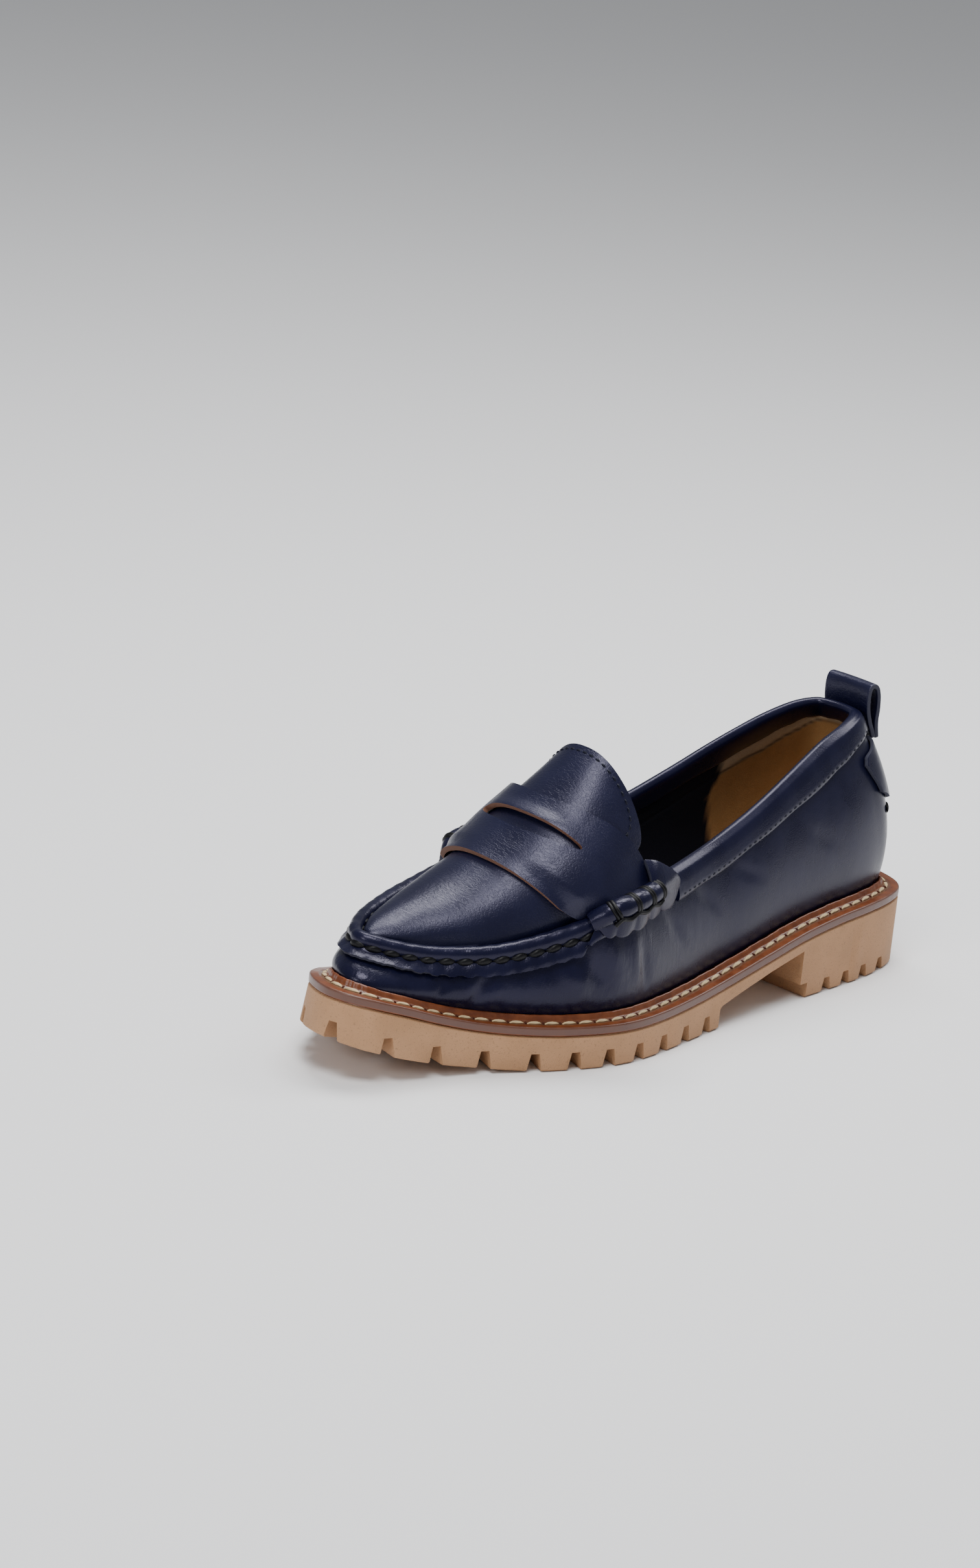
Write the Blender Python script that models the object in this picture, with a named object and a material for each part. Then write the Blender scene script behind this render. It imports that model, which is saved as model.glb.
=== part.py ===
"""Chunky lug sole loafer for the left foot, standing empty on its sole.

Metres, +Z up. The toe points along -Y, the heel along +Y, and the outer side of the foot is +X.
The origin is under the middle of the shoe, on the floor.
"""
import math

import bmesh
import bpy
import numpy as np

# Driving sizes
SOLE_LENGTH = 0.2667
BALL_WIDTH = 0.0938
HEEL_STACK = 0.0283
COLLAR_HEIGHT = 0.0910
TOP_LENGTH = 0.2345
TOP_HEEL_SETBACK = 0.0145
INSTEP_RISE = 0.0515
CLEARANCE = 0.0003

# Outsole
HEEL_BREAST = 0.0690
TREAD_BACK = 0.1165
LUG_HEIGHT = 0.0067
HEEL_LUG_HEIGHT = 0.0055
HEEL_LUG_SETBACK = 0.0040
LUG_PITCH = 0.0133
TOE_LUG_PITCH = 0.0186
HEEL_LUG_PITCH = 0.0112
SLOT_TOP = 0.0030
SLOT_FOOT = 0.0056
SLOT_REACH = 0.0190
TREAD_STEP = 0.0080
SHANK_FRONT_HEIGHT = 0.0080
SHANK_BACK_HEIGHT = 0.0180
TOE_SPRING = 0.0138
TOE_FLARE = 0.0018
EDGE_CHAMFER = 0.0007

# Welt and insole
WELT_THICKNESS = 0.0031
LEDGE_WIDTH = 0.0081
RIB_WIDTH = 0.0021
RIB_HEIGHT = 0.0020
WELT_ROUNDING = 0.0006
INSOLE_PROUD = 0.0015

# Upper
WALL = 0.0020
SWELL_POWER = 0.88
RIDGE_WIDTH = 0.0040
RIDGE_HEIGHT = 0.0070
RIDGE_START = 0.700
RIDGE_FADE = 0.022
ARCH_FULLNESS = 2.3
THROAT = 0.600

# Tongue, strap, rolls, tabs, binding, patch and loop
TONGUE_THICKNESS = 0.0022
TONGUE_END = 0.486
TONGUE_SHOULDER = 0.560
TONGUE_REACH = 0.95
STRAP_THICKNESS = 0.0019
STRAP_FRONT = 0.728
STRAP_BOW = 0.005
STRAP_REAR = 0.597
STRAP_FLARE = 0.033
STRAP_REACH = 0.984
SLOT_CENTRE = 0.653
SLOT_HALF_GAP = 0.016
SLOT_HALF_SPAN = 0.66
ROLL_RADIUS = 0.0038
ROLL_FRONT = 0.700
ROLL_REAR = 0.596
TAB_THICKNESS = 0.0017
TAB_FRONT = 0.690
TAB_REAR = 0.536
BINDING_DEPTH = 0.0092
BINDING_SWELL = 0.0013
BINDING_FRONT = 0.522
PATCH_HALF_WIDTH = 0.0200
PATCH_THICKNESS = 0.0012
LOOP_WIDTH = 0.0200
LOOP_THICKNESS = 0.0017
LOOP_RISE = 0.0095

SOLE_COLUMNS = 50
UPPER_COLUMNS = 42

# Plan of the sole, heel to toe: share of SOLE_LENGTH from the heel, then the distance of the outer
# and the inner edge from the heel's axis as shares of BALL_WIDTH, and the welt's height above the
# floor as a share of HEEL_STACK
OUTLINE = (
    # along, outer, inner, welt height
    (0.000, 0.000, 0.000, 1.00),
    (0.006, 0.155, -0.155, 1.00),
    (0.026, 0.256, -0.256, 1.00),
    (0.066, 0.309, -0.309, 0.995),
    (0.122, 0.339, -0.339, 0.985),
    (0.178, 0.352, -0.352, 0.96),
    (0.253, 0.366, -0.354, 0.885),
    (0.333, 0.388, -0.350, 0.765),
    (0.418, 0.408, -0.362, 0.625),
    (0.491, 0.440, -0.405, 0.560),
    (0.564, 0.472, -0.465, 0.535),
    (0.621, 0.483, -0.502, 0.530),
    (0.670, 0.463, -0.516, 0.532),
    (0.730, 0.402, -0.503, 0.542),
    (0.784, 0.325, -0.470, 0.572),
    (0.834, 0.255, -0.423, 0.640),
    (0.887, 0.208, -0.360, 0.775),
    (0.926, 0.176, -0.303, 0.895),
    (0.967, 0.130, -0.222, 1.005),
    (0.991, 0.062, -0.125, 1.055),
    (1.000, -0.028, -0.028, 1.070),
)

# Top line of the wall, a row for each row of OUTLINE: the collar at the heel and the seam of the
# plug at the toe. For each side its share of TOP_LENGTH, then sideways shares of BALL_WIDTH and
# heights as shares of COLLAR_HEIGHT, as is the wall's swell
TOPLINE = (
    # outer along, outer, outer height, inner along, inner, inner height, swell
    (0.034, 0.000, 1.000, 0.034, 0.000, 1.000, 0.088),
    (0.039, 0.078, 0.999, 0.039, -0.078, 0.999, 0.084),
    (0.051, 0.111, 0.996, 0.051, -0.111, 0.996, 0.074),
    (0.072, 0.136, 0.986, 0.072, -0.136, 0.986, 0.061),
    (0.102, 0.156, 0.966, 0.102, -0.156, 0.966, 0.056),
    (0.154, 0.175, 0.926, 0.153, -0.175, 0.927, 0.052),
    (0.236, 0.209, 0.845, 0.233, -0.206, 0.850, 0.044),
    (0.324, 0.238, 0.756, 0.321, -0.232, 0.763, 0.038),
    (0.418, 0.262, 0.678, 0.418, -0.250, 0.685, 0.034),
    (0.502, 0.293, 0.635, 0.504, -0.270, 0.640, 0.034),
    (0.580, 0.328, 0.610, 0.586, -0.311, 0.618, 0.036),
    (0.639, 0.355, 0.588, 0.646, -0.340, 0.601, 0.038),
    (0.687, 0.352, 0.567, 0.692, -0.346, 0.583, 0.038),
    (0.743, 0.306, 0.522, 0.752, -0.333, 0.559, 0.036),
    (0.801, 0.251, 0.483, 0.806, -0.312, 0.542, 0.034),
    (0.856, 0.192, 0.462, 0.857, -0.286, 0.530, 0.032),
    (0.910, 0.109, 0.456, 0.911, -0.246, 0.518, 0.030),
    (0.948, 0.050, 0.465, 0.950, -0.206, 0.510, 0.030),
    (0.980, -0.008, 0.483, 0.984, -0.150, 0.503, 0.030),
    (0.996, -0.050, 0.495, 0.996, -0.114, 0.499, 0.030),
    (1.000, -0.082, 0.498, 1.000, -0.082, 0.498, 0.030),
)

# Crown of the instep, a row for each row of OUTLINE from the throat's sections to the toe: share of
# SOLE_LENGTH, share of INSTEP_RISE above the toe seam, and how square the section's arch is
CROWN_FIRST = 8
CROWN = (
    # along, rise, power of the arch
    (0.556, 1.180, 0.40),
    (0.603, 0.968, 0.42),
    (0.648, 0.760, 0.46),
    (0.685, 0.597, 0.54),
    (0.716, 0.469, 0.62),
    (0.756, 0.326, 0.64),
    (0.795, 0.220, 0.65),
    (0.834, 0.138, 0.72),
    (0.874, 0.066, 0.82),
    (0.901, 0.025, 0.90),
    (0.917, -0.010, 0.97),
    (0.921, -0.025, 1.00),
    (0.922, -0.030, 1.00),
)

# Rows of the outer skin: share of the wall's height, then across and up from the top line as shares
# of RIDGE_WIDTH and RIDGE_HEIGHT where the plug's seam runs
WALL_ROWS = (0.0, 0.10, 0.26, 0.44, 0.62, 0.80)
SEAM_ROWS = (
    # share of the wall at the collar, across, up
    (0.88, 0.34, -0.96),
    (0.91, 0.62, -0.92),
    (0.94, 0.52, -0.50),
    (0.97, 0.50, -0.22),
    (1.00, 0.06, 0.00),
)
SEAM_INNER = (-0.50, -0.04)
SEAM_VALLEY = (-0.72, -0.24)
INNER_ROWS = (0.0, 0.22, 0.48, 0.74)

# Side view of the pull loop behind the collar: up its front leaf, over the fold and down its rear
# leaf, from the collar's edge at the heel, in shares of LOOP_RISE, and how far its sides curve
# forward, in shares of LOOP_WIDTH
LOOP_PATH = (
    # back, up, curve of the sides
    (0.89, -1.12, 0.08),
    (0.74, -0.80, 0.08),
    (0.58, -0.50, 0.08),
    (0.36, 0.00, 0.06),
    (0.27, 0.50, 0.04),
    (0.30, 0.85, 0.03),
    (0.45, 1.02, 0.03),
    (0.68, 1.02, 0.03),
    (0.92, 0.86, 0.04),
    (1.08, 0.50, 0.05),
    (1.15, 0.00, 0.06),
    (1.18, -0.50, 0.08),
    (1.30, -1.12, 0.08),
)

# Outline of the heel patch, from its point up: share of the wall's height and half its width as a
# share of PATCH_HALF_WIDTH
PATCH_ROWS = (
    (0.400, 0.08),
    (0.435, 0.38),
    (0.475, 0.68),
    (0.520, 0.90),
    (0.580, 1.00),
    (0.680, 0.96),
    (0.760, 0.92),
    (0.800, 0.86),
    (0.832, 0.64),
)

PALETTE = {
    "rubber": ((0.47, 0.33, 0.23), 0.75),
    "welt_leather": ((0.20, 0.07, 0.03), 0.40),
    "footbed": ((0.02, 0.02, 0.04), 0.80),
    "navy_leather": ((0.020, 0.024, 0.065), 0.30),
}

ROWS = len(OUTLINE) - 1
TURN = 2 * ROWS


def remove_everything():
    for item in list(bpy.data.objects):
        bpy.data.objects.remove(item, do_unlink=True)


def closed_spline(points, at):
    """Smooth closed curve through the points, read at row numbers."""
    points = np.asarray(points, float)
    count = len(points)
    at = np.asarray(at, float)
    first = np.floor(at).astype(int)
    f = (at - first)[:, None]
    a, b, c, d = (points[(first + k) % count] for k in (-1, 0, 1, 2))
    return 0.5 * (2 * b + (c - a) * f + (2 * a - 5 * b + 4 * c - d) * f ** 2
                  + (3 * b - a - 3 * c + d) * f ** 3)


def around(outer, inner):
    """Rows of the outer side, heel to toe, then of the inner side back to the heel."""
    return np.array(list(outer) + list(inner[-2:0:-1]))


def heel_y(share):
    return SOLE_LENGTH * (0.5 - share)


def outline_points():
    outer = [(BALL_WIDTH * r[1], heel_y(r[0]), HEEL_STACK * r[3]) for r in OUTLINE]
    inner = [(BALL_WIDTH * r[2], heel_y(r[0]), HEEL_STACK * r[3]) for r in OUTLINE]
    return around(outer, inner)


def topline_points():
    start = heel_y(0) - TOP_HEEL_SETBACK
    outer = [(BALL_WIDTH * r[1], start - TOP_LENGTH * r[0], COLLAR_HEIGHT * r[2]) for r in TOPLINE]
    inner = [(BALL_WIDTH * r[4], start - TOP_LENGTH * r[3], COLLAR_HEIGHT * r[5]) for r in TOPLINE]
    return around(outer, inner)


def row_of(share):
    """Row number at a share of the sole's length."""
    return np.interp(share, [row[0] for row in OUTLINE], np.arange(ROWS + 1))


def seam_row(share):
    """Row number at a share of the top line's length."""
    return np.interp(share, [row[0] for row in TOPLINE], np.arange(ROWS + 1))


def seam_share(row):
    row = np.asarray(row, float) % TURN
    row = np.where(row > ROWS, TURN - row, row)
    return np.interp(row, np.arange(ROWS + 1), [r[0] for r in TOPLINE])


def share_of(row):
    row = np.asarray(row, float) % TURN
    row = np.where(row > ROWS, TURN - row, row)
    return np.interp(row, np.arange(ROWS + 1), [r[0] for r in OUTLINE])


def columns(count):
    """Row numbers of evenly spread columns, with each one on the outer side facing one opposite."""
    fine = np.linspace(0, ROWS, 600)
    outer = closed_spline(outline_points(), fine)[:, :2]
    inner = closed_spline(outline_points(), TURN - fine)[:, :2]
    weight = np.zeros(len(fine) - 1)
    for side in (outer, inner):
        step = np.diff(side, axis=0)
        weight += np.linalg.norm(step, axis=1)
        heading = np.unwrap(np.arctan2(step[:, 1], step[:, 0]))
        weight += 0.022 * np.abs(np.gradient(heading))
    reach = np.concatenate([[0], np.cumsum(weight)])
    side = np.interp(np.linspace(0, reach[-1], count + 1), reach, fine)
    return np.concatenate([side, TURN - side[-2:0:-1]])


def outward(loop):
    """Outward direction in plan at each point of a closed loop."""
    step = np.roll(loop, -1, axis=0) - np.roll(loop, 1, axis=0)
    out = np.stack([-step[:, 1], step[:, 0], np.zeros(len(loop))], axis=1)
    return out / np.linalg.norm(out, axis=1)[:, None]


def sole_loop(at, inset=0.0):
    """Loop of the sole's plan, drawn in by a distance, at the height of the welt's top."""
    loop = closed_spline(outline_points(), at)
    return loop - outward(loop) * inset


def with_height(loop, height):
    loop = loop.copy()
    loop[:, 2] = height
    return loop


UP = np.array([0.0, 0.0, 1.0])


class Mesh:
    """Gathers points and faces, then makes one closed object of them."""

    def __init__(self):
        self.points = []
        self.faces = []

    def add(self, points):
        start = len(self.points)
        self.points.extend(tuple(float(v) for v in p) for p in points)
        return list(range(start, start + len(points)))

    def strip(self, low, high, closed=True):
        """Joins two rows of points by four-sided faces."""
        last = len(low) if closed else len(low) - 1
        for i in range(last):
            j = (i + 1) % len(low)
            self.faces.append((low[i], low[j], high[j], high[i]))

    def cover(self, ring, upwards):
        """Closes a ring of paired columns by faces that run straight across."""
        half = len(ring) // 2
        for i in range(half):
            a, b = ring[i], ring[i + 1]
            c, d = ring[(-i - 1) % len(ring)], ring[-i % len(ring)]
            face = [a, b, c, d]
            if i == 0:
                face = [a, b, c]
            if i == half - 1:
                face = [a, b, d]
            self.faces.append(tuple(face if upwards else face[::-1]))

    def finish(self, name, material):
        mesh = bpy.data.meshes.new(name)
        mesh.from_pydata(self.points, [], self.faces)
        work = bmesh.new()
        work.from_mesh(mesh)
        bmesh.ops.remove_doubles(work, verts=work.verts, dist=0.00001)
        bmesh.ops.recalc_face_normals(work, faces=work.faces)
        if work.calc_volume(signed=True) < 0:
            bmesh.ops.reverse_faces(work, faces=work.faces)
        work.to_mesh(mesh)
        work.free()
        return place(mesh, name, material)


def place(mesh, name, material):
    """Puts a mesh in the shoe's collection, under the empty that centres the shoe."""
    thing = bpy.data.objects.new(name, mesh)
    SHOE.objects.link(thing)
    thing.parent = CENTRE
    mesh.materials.append(material)
    mesh.shade_smooth()
    mesh.set_sharp_from_angle(angle=math.radians(40))
    return thing


def make_material(name):
    colour, roughness = PALETTE[name]
    material = bpy.data.materials.new(name)
    material.use_nodes = True
    shader = material.node_tree.nodes["Principled BSDF"]
    shader.inputs["Base Color"].default_value = (*colour, 1)
    shader.inputs["Roughness"].default_value = roughness
    return material


def difference(thing, cutter):
    cut = thing.modifiers.new("cut", "BOOLEAN")
    cut.operation = "DIFFERENCE"
    cut.solver = "EXACT"
    cut.object = cutter
    return cut


def keep_cutter(thing):
    SHOE.objects.unlink(thing)
    CUTTERS.objects.link(thing)
    thing.hide_render = True
    thing.display_type = "WIRE"


# Sole unit

def rubber_top(welt_height):
    return welt_height - WELT_THICKNESS - CLEARANCE


def tread_height(share):
    """Height of the tread's underside: flat at heel and ball, rising to the toe."""
    start = 0.736
    return TOE_SPRING * np.clip((share - start) / (1 - start), 0, 1) ** 1.8


def tread_loop(at):
    """Lower edge of the sole's side, with its flare at the toe."""
    share = share_of(at)
    flare = TOE_FLARE * np.clip((share - 0.7) / 0.3, 0, 1)
    loop = closed_spline(outline_points(), at)
    loop = loop + outward(loop) * flare[:, None]
    return with_height(loop, tread_height(share))


def build_outsole(rubber):
    at = columns(SOLE_COLUMNS)
    top = sole_loop(at)
    top[:, 2] = rubber_top(top[:, 2])
    low = tread_loop(at)
    out = outward(top)
    rings = (
        low - out * EDGE_CHAMFER,
        low + UP * EDGE_CHAMFER,
        top - UP * EDGE_CHAMFER,
        top - out * EDGE_CHAMFER,
    )
    body = Mesh()
    rows = [body.add(ring) for ring in rings]
    for below, above in zip(rows, rows[1:]):
        body.strip(below, above)
    body.cover(rows[0], False)
    body.cover(rows[-1], True)
    outsole = body.finish("outsole", rubber)
    difference(outsole, build_arch_cutter(rubber))
    difference(outsole, build_slot_cutter(rubber))
    return outsole


def prism(body, profile, low, high):
    """A side view of points (y, z) drawn out across the shoe, from low to high x."""
    near = body.add([(low, y, z) for y, z in profile])
    far = body.add([(high, y, z) for y, z in profile])
    body.strip(near, far)
    body.faces.append(tuple(near))
    body.faces.append(tuple(reversed(far)))


def build_arch_cutter(rubber):
    """Room under the shank, between the tread's back and the heel's breast."""
    breast = heel_y(0) - HEEL_BREAST
    tread = heel_y(0) - TREAD_BACK
    below = -SOLE_LENGTH / 20
    span = (SHANK_BACK_HEIGHT - SHANK_FRONT_HEIGHT)
    profile = [
        (breast + HEEL_LUG_SETBACK, below),
        (breast + HEEL_LUG_SETBACK, HEEL_LUG_HEIGHT),
        (breast, HEEL_LUG_HEIGHT),
        (breast, SHANK_BACK_HEIGHT),
        (breast * 0.6 + tread * 0.4, SHANK_BACK_HEIGHT - 0.34 * span),
        (tread + 0.001, SHANK_FRONT_HEIGHT),
        (tread, SHANK_FRONT_HEIGHT - 0.001),
        (tread, below),
    ]
    cutter = Mesh()
    prism(cutter, profile, -BALL_WIDTH, BALL_WIDTH)
    thing = cutter.finish("arch_cutter", rubber)
    keep_cutter(thing)
    return thing


def slot(cutter, edge, out, height, depth):
    """One gap between two lugs: narrow above, wide at the floor, run in from the sole's edge."""
    along = np.array([-out[1], out[0], 0.0])
    below = LUG_HEIGHT
    slope = (SLOT_FOOT - SLOT_TOP) / 2 / height
    foot = SLOT_FOOT / 2 + slope * below
    rings = []
    for distance, rise in ((BALL_WIDTH / 20, 1.0), (-depth, 0.72)):
        base = edge + out * distance
        rings.append([
            base - along * foot - UP * below,
            base + along * foot - UP * below,
            base + along * SLOT_TOP / 2 + UP * height * rise,
            base - along * SLOT_TOP / 2 + UP * height * rise,
        ])
    outer, inner = (cutter.add(ring) for ring in rings)
    cutter.strip(outer, inner)
    cutter.faces.append(tuple(outer))
    cutter.faces.append(tuple(reversed(inner)))


def path_along(start, end):
    """Fine row numbers round the sole's edge between two rows, with their distances."""
    fine = np.linspace(start, end, 1200)
    edge = tread_loop_open(fine)
    steps = np.linalg.norm(np.diff(edge[:, :2], axis=0), axis=1)
    return fine, np.concatenate([[0], np.cumsum(steps)])


def tread_loop_open(at):
    share = share_of(at)
    loop = closed_spline(outline_points(), at)
    loop[:, 2] = tread_height(share)
    return loop


def edge_frame(row):
    """Edge point of the tread and its outward direction at a row number."""
    a, edge, b = tread_loop_open(np.array([row - 0.05, row, row + 0.05]))
    step = b - a
    out = np.array([-step[1], step[0], 0.0])
    return edge, out / np.linalg.norm(out)


def build_slot_cutter(rubber):
    """All the gaps between lugs, as one cutter of loose wedges."""
    cutter = Mesh()
    tread_share = TREAD_BACK / SOLE_LENGTH
    start = row_of(tread_share)
    fine, reach = path_along(start, TURN - start)
    distance = 0.58 * LUG_PITCH
    while distance < reach[-1] - 0.4 * LUG_PITCH:
        row = np.interp(distance, reach, fine)
        edge, out = edge_frame(row)
        share = float(share_of(row))
        toeward = min(max((share - 0.69) / 0.08, 0), 1)
        slot(cutter, edge, out, LUG_HEIGHT, SLOT_REACH * (1 - 0.42 * toeward))
        distance += LUG_PITCH + (TOE_LUG_PITCH - LUG_PITCH) * toeward
    first = heel_y(0) - HEEL_BREAST + HEEL_LUG_SETBACK + HEEL_LUG_PITCH
    place_y = first
    while place_y < heel_y(0) - HEEL_LUG_PITCH:
        row = row_of((heel_y(0) - place_y) / SOLE_LENGTH)
        for side in (row, TURN - row):
            edge = tread_loop_open(np.array([side]))[0]
            out = np.array([1.0 if side < ROWS else -1.0, 0.0, 0.0])
            slot(cutter, edge, out, HEEL_LUG_HEIGHT, SLOT_REACH)
        place_y += HEEL_LUG_PITCH
    thing = cutter.finish("slot_cutter", rubber)
    keep_cutter(thing)
    return thing


def build_welt(leather):
    """Storm welt: an outer ledge for the stitches, a raised rib, and a seat for the upper."""
    at = columns(SOLE_COLUMNS)
    edge = sole_loop(at)
    out = outward(edge)
    rib_out = LEDGE_WIDTH - RIB_WIDTH
    seat = LEDGE_WIDTH + CLEARANCE + WALL + CLEARANCE
    profile = (
        # inset from the edge, height above the ledge
        (0.0, -WELT_THICKNESS + WELT_ROUNDING),
        (0.0, -WELT_ROUNDING),
        (WELT_ROUNDING, 0.0),
        (rib_out, 0.0),
        (rib_out + RIB_WIDTH * 0.16, RIB_HEIGHT * 0.80),
        (rib_out + RIB_WIDTH * 0.34, RIB_HEIGHT),
        (rib_out + RIB_WIDTH * 0.55, RIB_HEIGHT * 0.80),
        (LEDGE_WIDTH, 0.0),
        (seat, 0.0),
        (seat, -WELT_THICKNESS),
        (WELT_ROUNDING, -WELT_THICKNESS),
    )
    body = Mesh()
    rows = [body.add(edge - out * inset + UP * rise) for inset, rise in profile]
    for below, above in zip(rows, rows[1:] + rows[:1]):
        body.strip(below, above)
    return body.finish("welt", leather)


def build_insole(leather):
    at = columns(UPPER_COLUMNS)
    inset = LEDGE_WIDTH + 3 * CLEARANCE + WALL
    loop = sole_loop(at, inset + CLEARANCE)
    low = loop - UP * WELT_THICKNESS
    high = loop + UP * INSOLE_PROUD
    body = Mesh()
    rows = [body.add(low), body.add(high)]
    body.strip(rows[0], rows[1])
    body.cover(rows[0], False)
    body.cover(rows[1], True)
    return body.finish("insole", leather)


# Upper: the last's own surfaces

def feather_line(at):
    """Lower edge of the wall, on the welt's seat."""
    return sole_loop(at, LEDGE_WIDTH + CLEARANCE) + UP * CLEARANCE


def top_line(at):
    return closed_spline(topline_points(), at)


def swell(at):
    rows = [COLLAR_HEIGHT * row[6] for row in TOPLINE]
    return closed_spline(around(rows, rows)[:, None], at)


def ridge_share(at):
    """1 where the plug's seam stands up as a ridge, 0 from the saddle back."""
    t = np.clip((seam_share(at) - RIDGE_START) / RIDGE_FADE, 0, 1)
    return (t * t * (3 - 2 * t))[:, None]


def ridge_growth(at):
    """The ridge is fuller towards the saddle than at the toe."""
    return (1 + 0.35 * np.clip((0.95 - seam_share(at)) / 0.25, 0, 1))[:, None]


def seam_point(at, across, up):
    """A point of the seam's section, measured from the top line."""
    top = top_line(at)
    return top + ridge_growth(at) * (outward(top) * across * RIDGE_WIDTH + UP * up * RIDGE_HEIGHT)


def wall_point(at, rise):
    """A point on the outer face of the wall: rise 0 at the welt, 1 at the top line."""
    foot = feather_line(at)
    top = top_line(at)
    shoulder = seam_point(at, SEAM_ROWS[0][1], SEAM_ROWS[0][2])
    target = top + (shoulder - top) * ridge_share(at)
    rise = np.asarray(rise, float)
    if rise.ndim == 1:
        rise = rise[:, None]
    shape = np.sin(math.pi * rise ** SWELL_POWER)
    return foot + (target - foot) * rise + outward(foot) * swell(at) * shape


def crown_line(at):
    """Middle of the instep's arch and the power of the arch, for rows from the throat forward."""
    side = np.where(at > ROWS, TURN - at, at) - CROWN_FIRST
    toe_seam = COLLAR_HEIGHT * TOPLINE[-1][2]
    table = np.array([(heel_y(row[0]), toe_seam + INSTEP_RISE * row[1], row[2]) for row in CROWN])
    mirrored = np.concatenate([table, table[-2:0:-1]])
    return closed_spline(mirrored, np.clip(side, 0, len(table) - 1))


def arc_spread(count, reach=1.0):
    """Places across the instep, closer together at its sides: 1 is the outer edge."""
    return reach * np.cos(np.linspace(0, math.pi, count))


def instep_point(row, across):
    """A point on the instep: row number on the outer side, across from -1 (inner) to 1 (outer)."""
    row = np.asarray(row, float)
    across = np.asarray(across, float)[:, None]
    outer = edge_between(row)
    inner = edge_between(TURN - row)
    crown = crown_line(row)
    middle = (outer + inner) / 2
    lift = np.stack([np.zeros(len(row)), crown[:, 0] - middle[:, 1], crown[:, 1] - middle[:, 2]], axis=1)
    arch = np.clip(1 - np.abs(across) ** ARCH_FULLNESS, 0, 1) ** crown[:, 2:3]
    return middle + (outer - inner) / 2 * across + lift * arch


def edge_between(row):
    """Where the plug meets the seam's inner side, or the wall's brim behind the ridge."""
    row = np.asarray(row, float)
    top = top_line(row)
    step = top_line(row + 0.05) - top_line(row - 0.05)
    out = np.stack([-step[:, 1], step[:, 0], np.zeros(len(row))], axis=1)
    out /= np.linalg.norm(out, axis=1)[:, None]
    across, up = SEAM_VALLEY
    valley = top + ridge_growth(row) * (out * across * RIDGE_WIDTH + UP * up * RIDGE_HEIGHT)
    brim = top - out * WALL
    return brim + (valley - brim) * ridge_share(row)


def instep_normal(row, across):
    """Outward direction of the instep's surface."""
    row = np.asarray(row, float)
    across = np.clip(np.asarray(across, float), -0.985, 0.985)
    tiny = 0.02
    along = instep_point(row + tiny, across) - instep_point(row - tiny, across)
    sideways = instep_point(row, across + 0.01) - instep_point(row, across - 0.01)
    normal = np.cross(along, sideways)
    normal *= np.sign(normal[:, 2:3])
    return normal / np.linalg.norm(normal, axis=1)[:, None]


def build_upper(leather):
    """One hollow solid: the wall round the foot, the raised seam and the plug on the instep."""
    at = columns(UPPER_COLUMNS)
    half = UPPER_COLUMNS
    throat = int(np.argmin(np.abs(seam_share(at[:half + 1]) - THROAT)))
    ridge = ridge_share(at)
    body = Mesh()

    outer = [body.add(wall_point(at, np.full(len(at), rise))) for rise in WALL_ROWS]
    for rise, across, up in SEAM_ROWS:
        collar = wall_point(at, np.full(len(at), rise))
        outer.append(body.add(collar + (seam_point(at, across, up) - collar) * ridge))
    top = top_line(at)
    out = outward(top)
    lip = top - out * WALL * 0.5
    outer.append(body.add(lip + (seam_point(at, *SEAM_INNER) - lip) * ridge))
    rim = edge_between(at)
    outer.append(body.add(rim))
    for below, above in zip(outer, outer[1:]):
        body.strip(below, above)

    inner = []
    for rise in INNER_ROWS:
        skin = wall_point(at, np.full(len(at), rise))
        inner.append(body.add(skin - outward(skin) * WALL))
    plugged = np.minimum(np.arange(len(at)), len(at) - np.arange(len(at))) >= throat
    under = rim - UP * WALL - out * 0.3 * WALL
    behind = rim - UP * 0.2 * WALL
    inner.append(body.add(np.where(plugged[:, None], under, behind)))
    for below, above in zip(inner, inner[1:]):
        body.strip(below, above)
    body.strip(outer[0], inner[0])

    # The plug, from the throat to the toe, in rows that run across the instep
    spread = arc_spread(13)
    above = below = None
    for column in range(throat, half):
        row = np.full(len(spread), at[column])
        skin = instep_point(row, spread)
        lining = skin - instep_normal(row, spread) * WALL
        upper_row = [outer[-1][column]] + body.add(skin[1:-1]) + [outer[-1][-column]]
        lower_row = [inner[-1][column]] + body.add(lining[1:-1]) + [inner[-1][-column]]
        if above is None:
            body.strip(upper_row, lower_row, closed=False)
        else:
            body.strip(above, upper_row, closed=False)
            body.strip(below, lower_row, closed=False)
        above, below = upper_row, lower_row
    for row, tip in ((above, outer[-1][half]), (below, inner[-1][half])):
        for a, b in zip(row, row[1:]):
            body.faces.append((a, b, tip))

    # The rim of the collar, from the throat round the heel
    back = list(range(-throat, throat + 1))
    body.strip([outer[-1][i] for i in back], [inner[-1][i] for i in back], closed=False)
    return body.finish("upper", leather)


# Pieces on the instep

def sheet(name, rows, material, thickness):
    """A sheet of leather: rows of points with their outward directions, given its thickness."""
    body = Mesh()
    under = [body.add(points + normals * CLEARANCE) for points, normals in rows]
    over = [body.add(points + normals * (CLEARANCE + thickness)) for points, normals in rows]
    for skin in (under, over):
        for a, b in zip(skin, skin[1:]):
            body.strip(a, b, closed=False)
    body.strip(under[0], over[0], closed=False)
    body.strip(under[-1], over[-1], closed=False)
    for end in (0, -1):
        body.strip([row[end] for row in under], [row[end] for row in over], closed=False)
    return body.finish(name, material)


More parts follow.
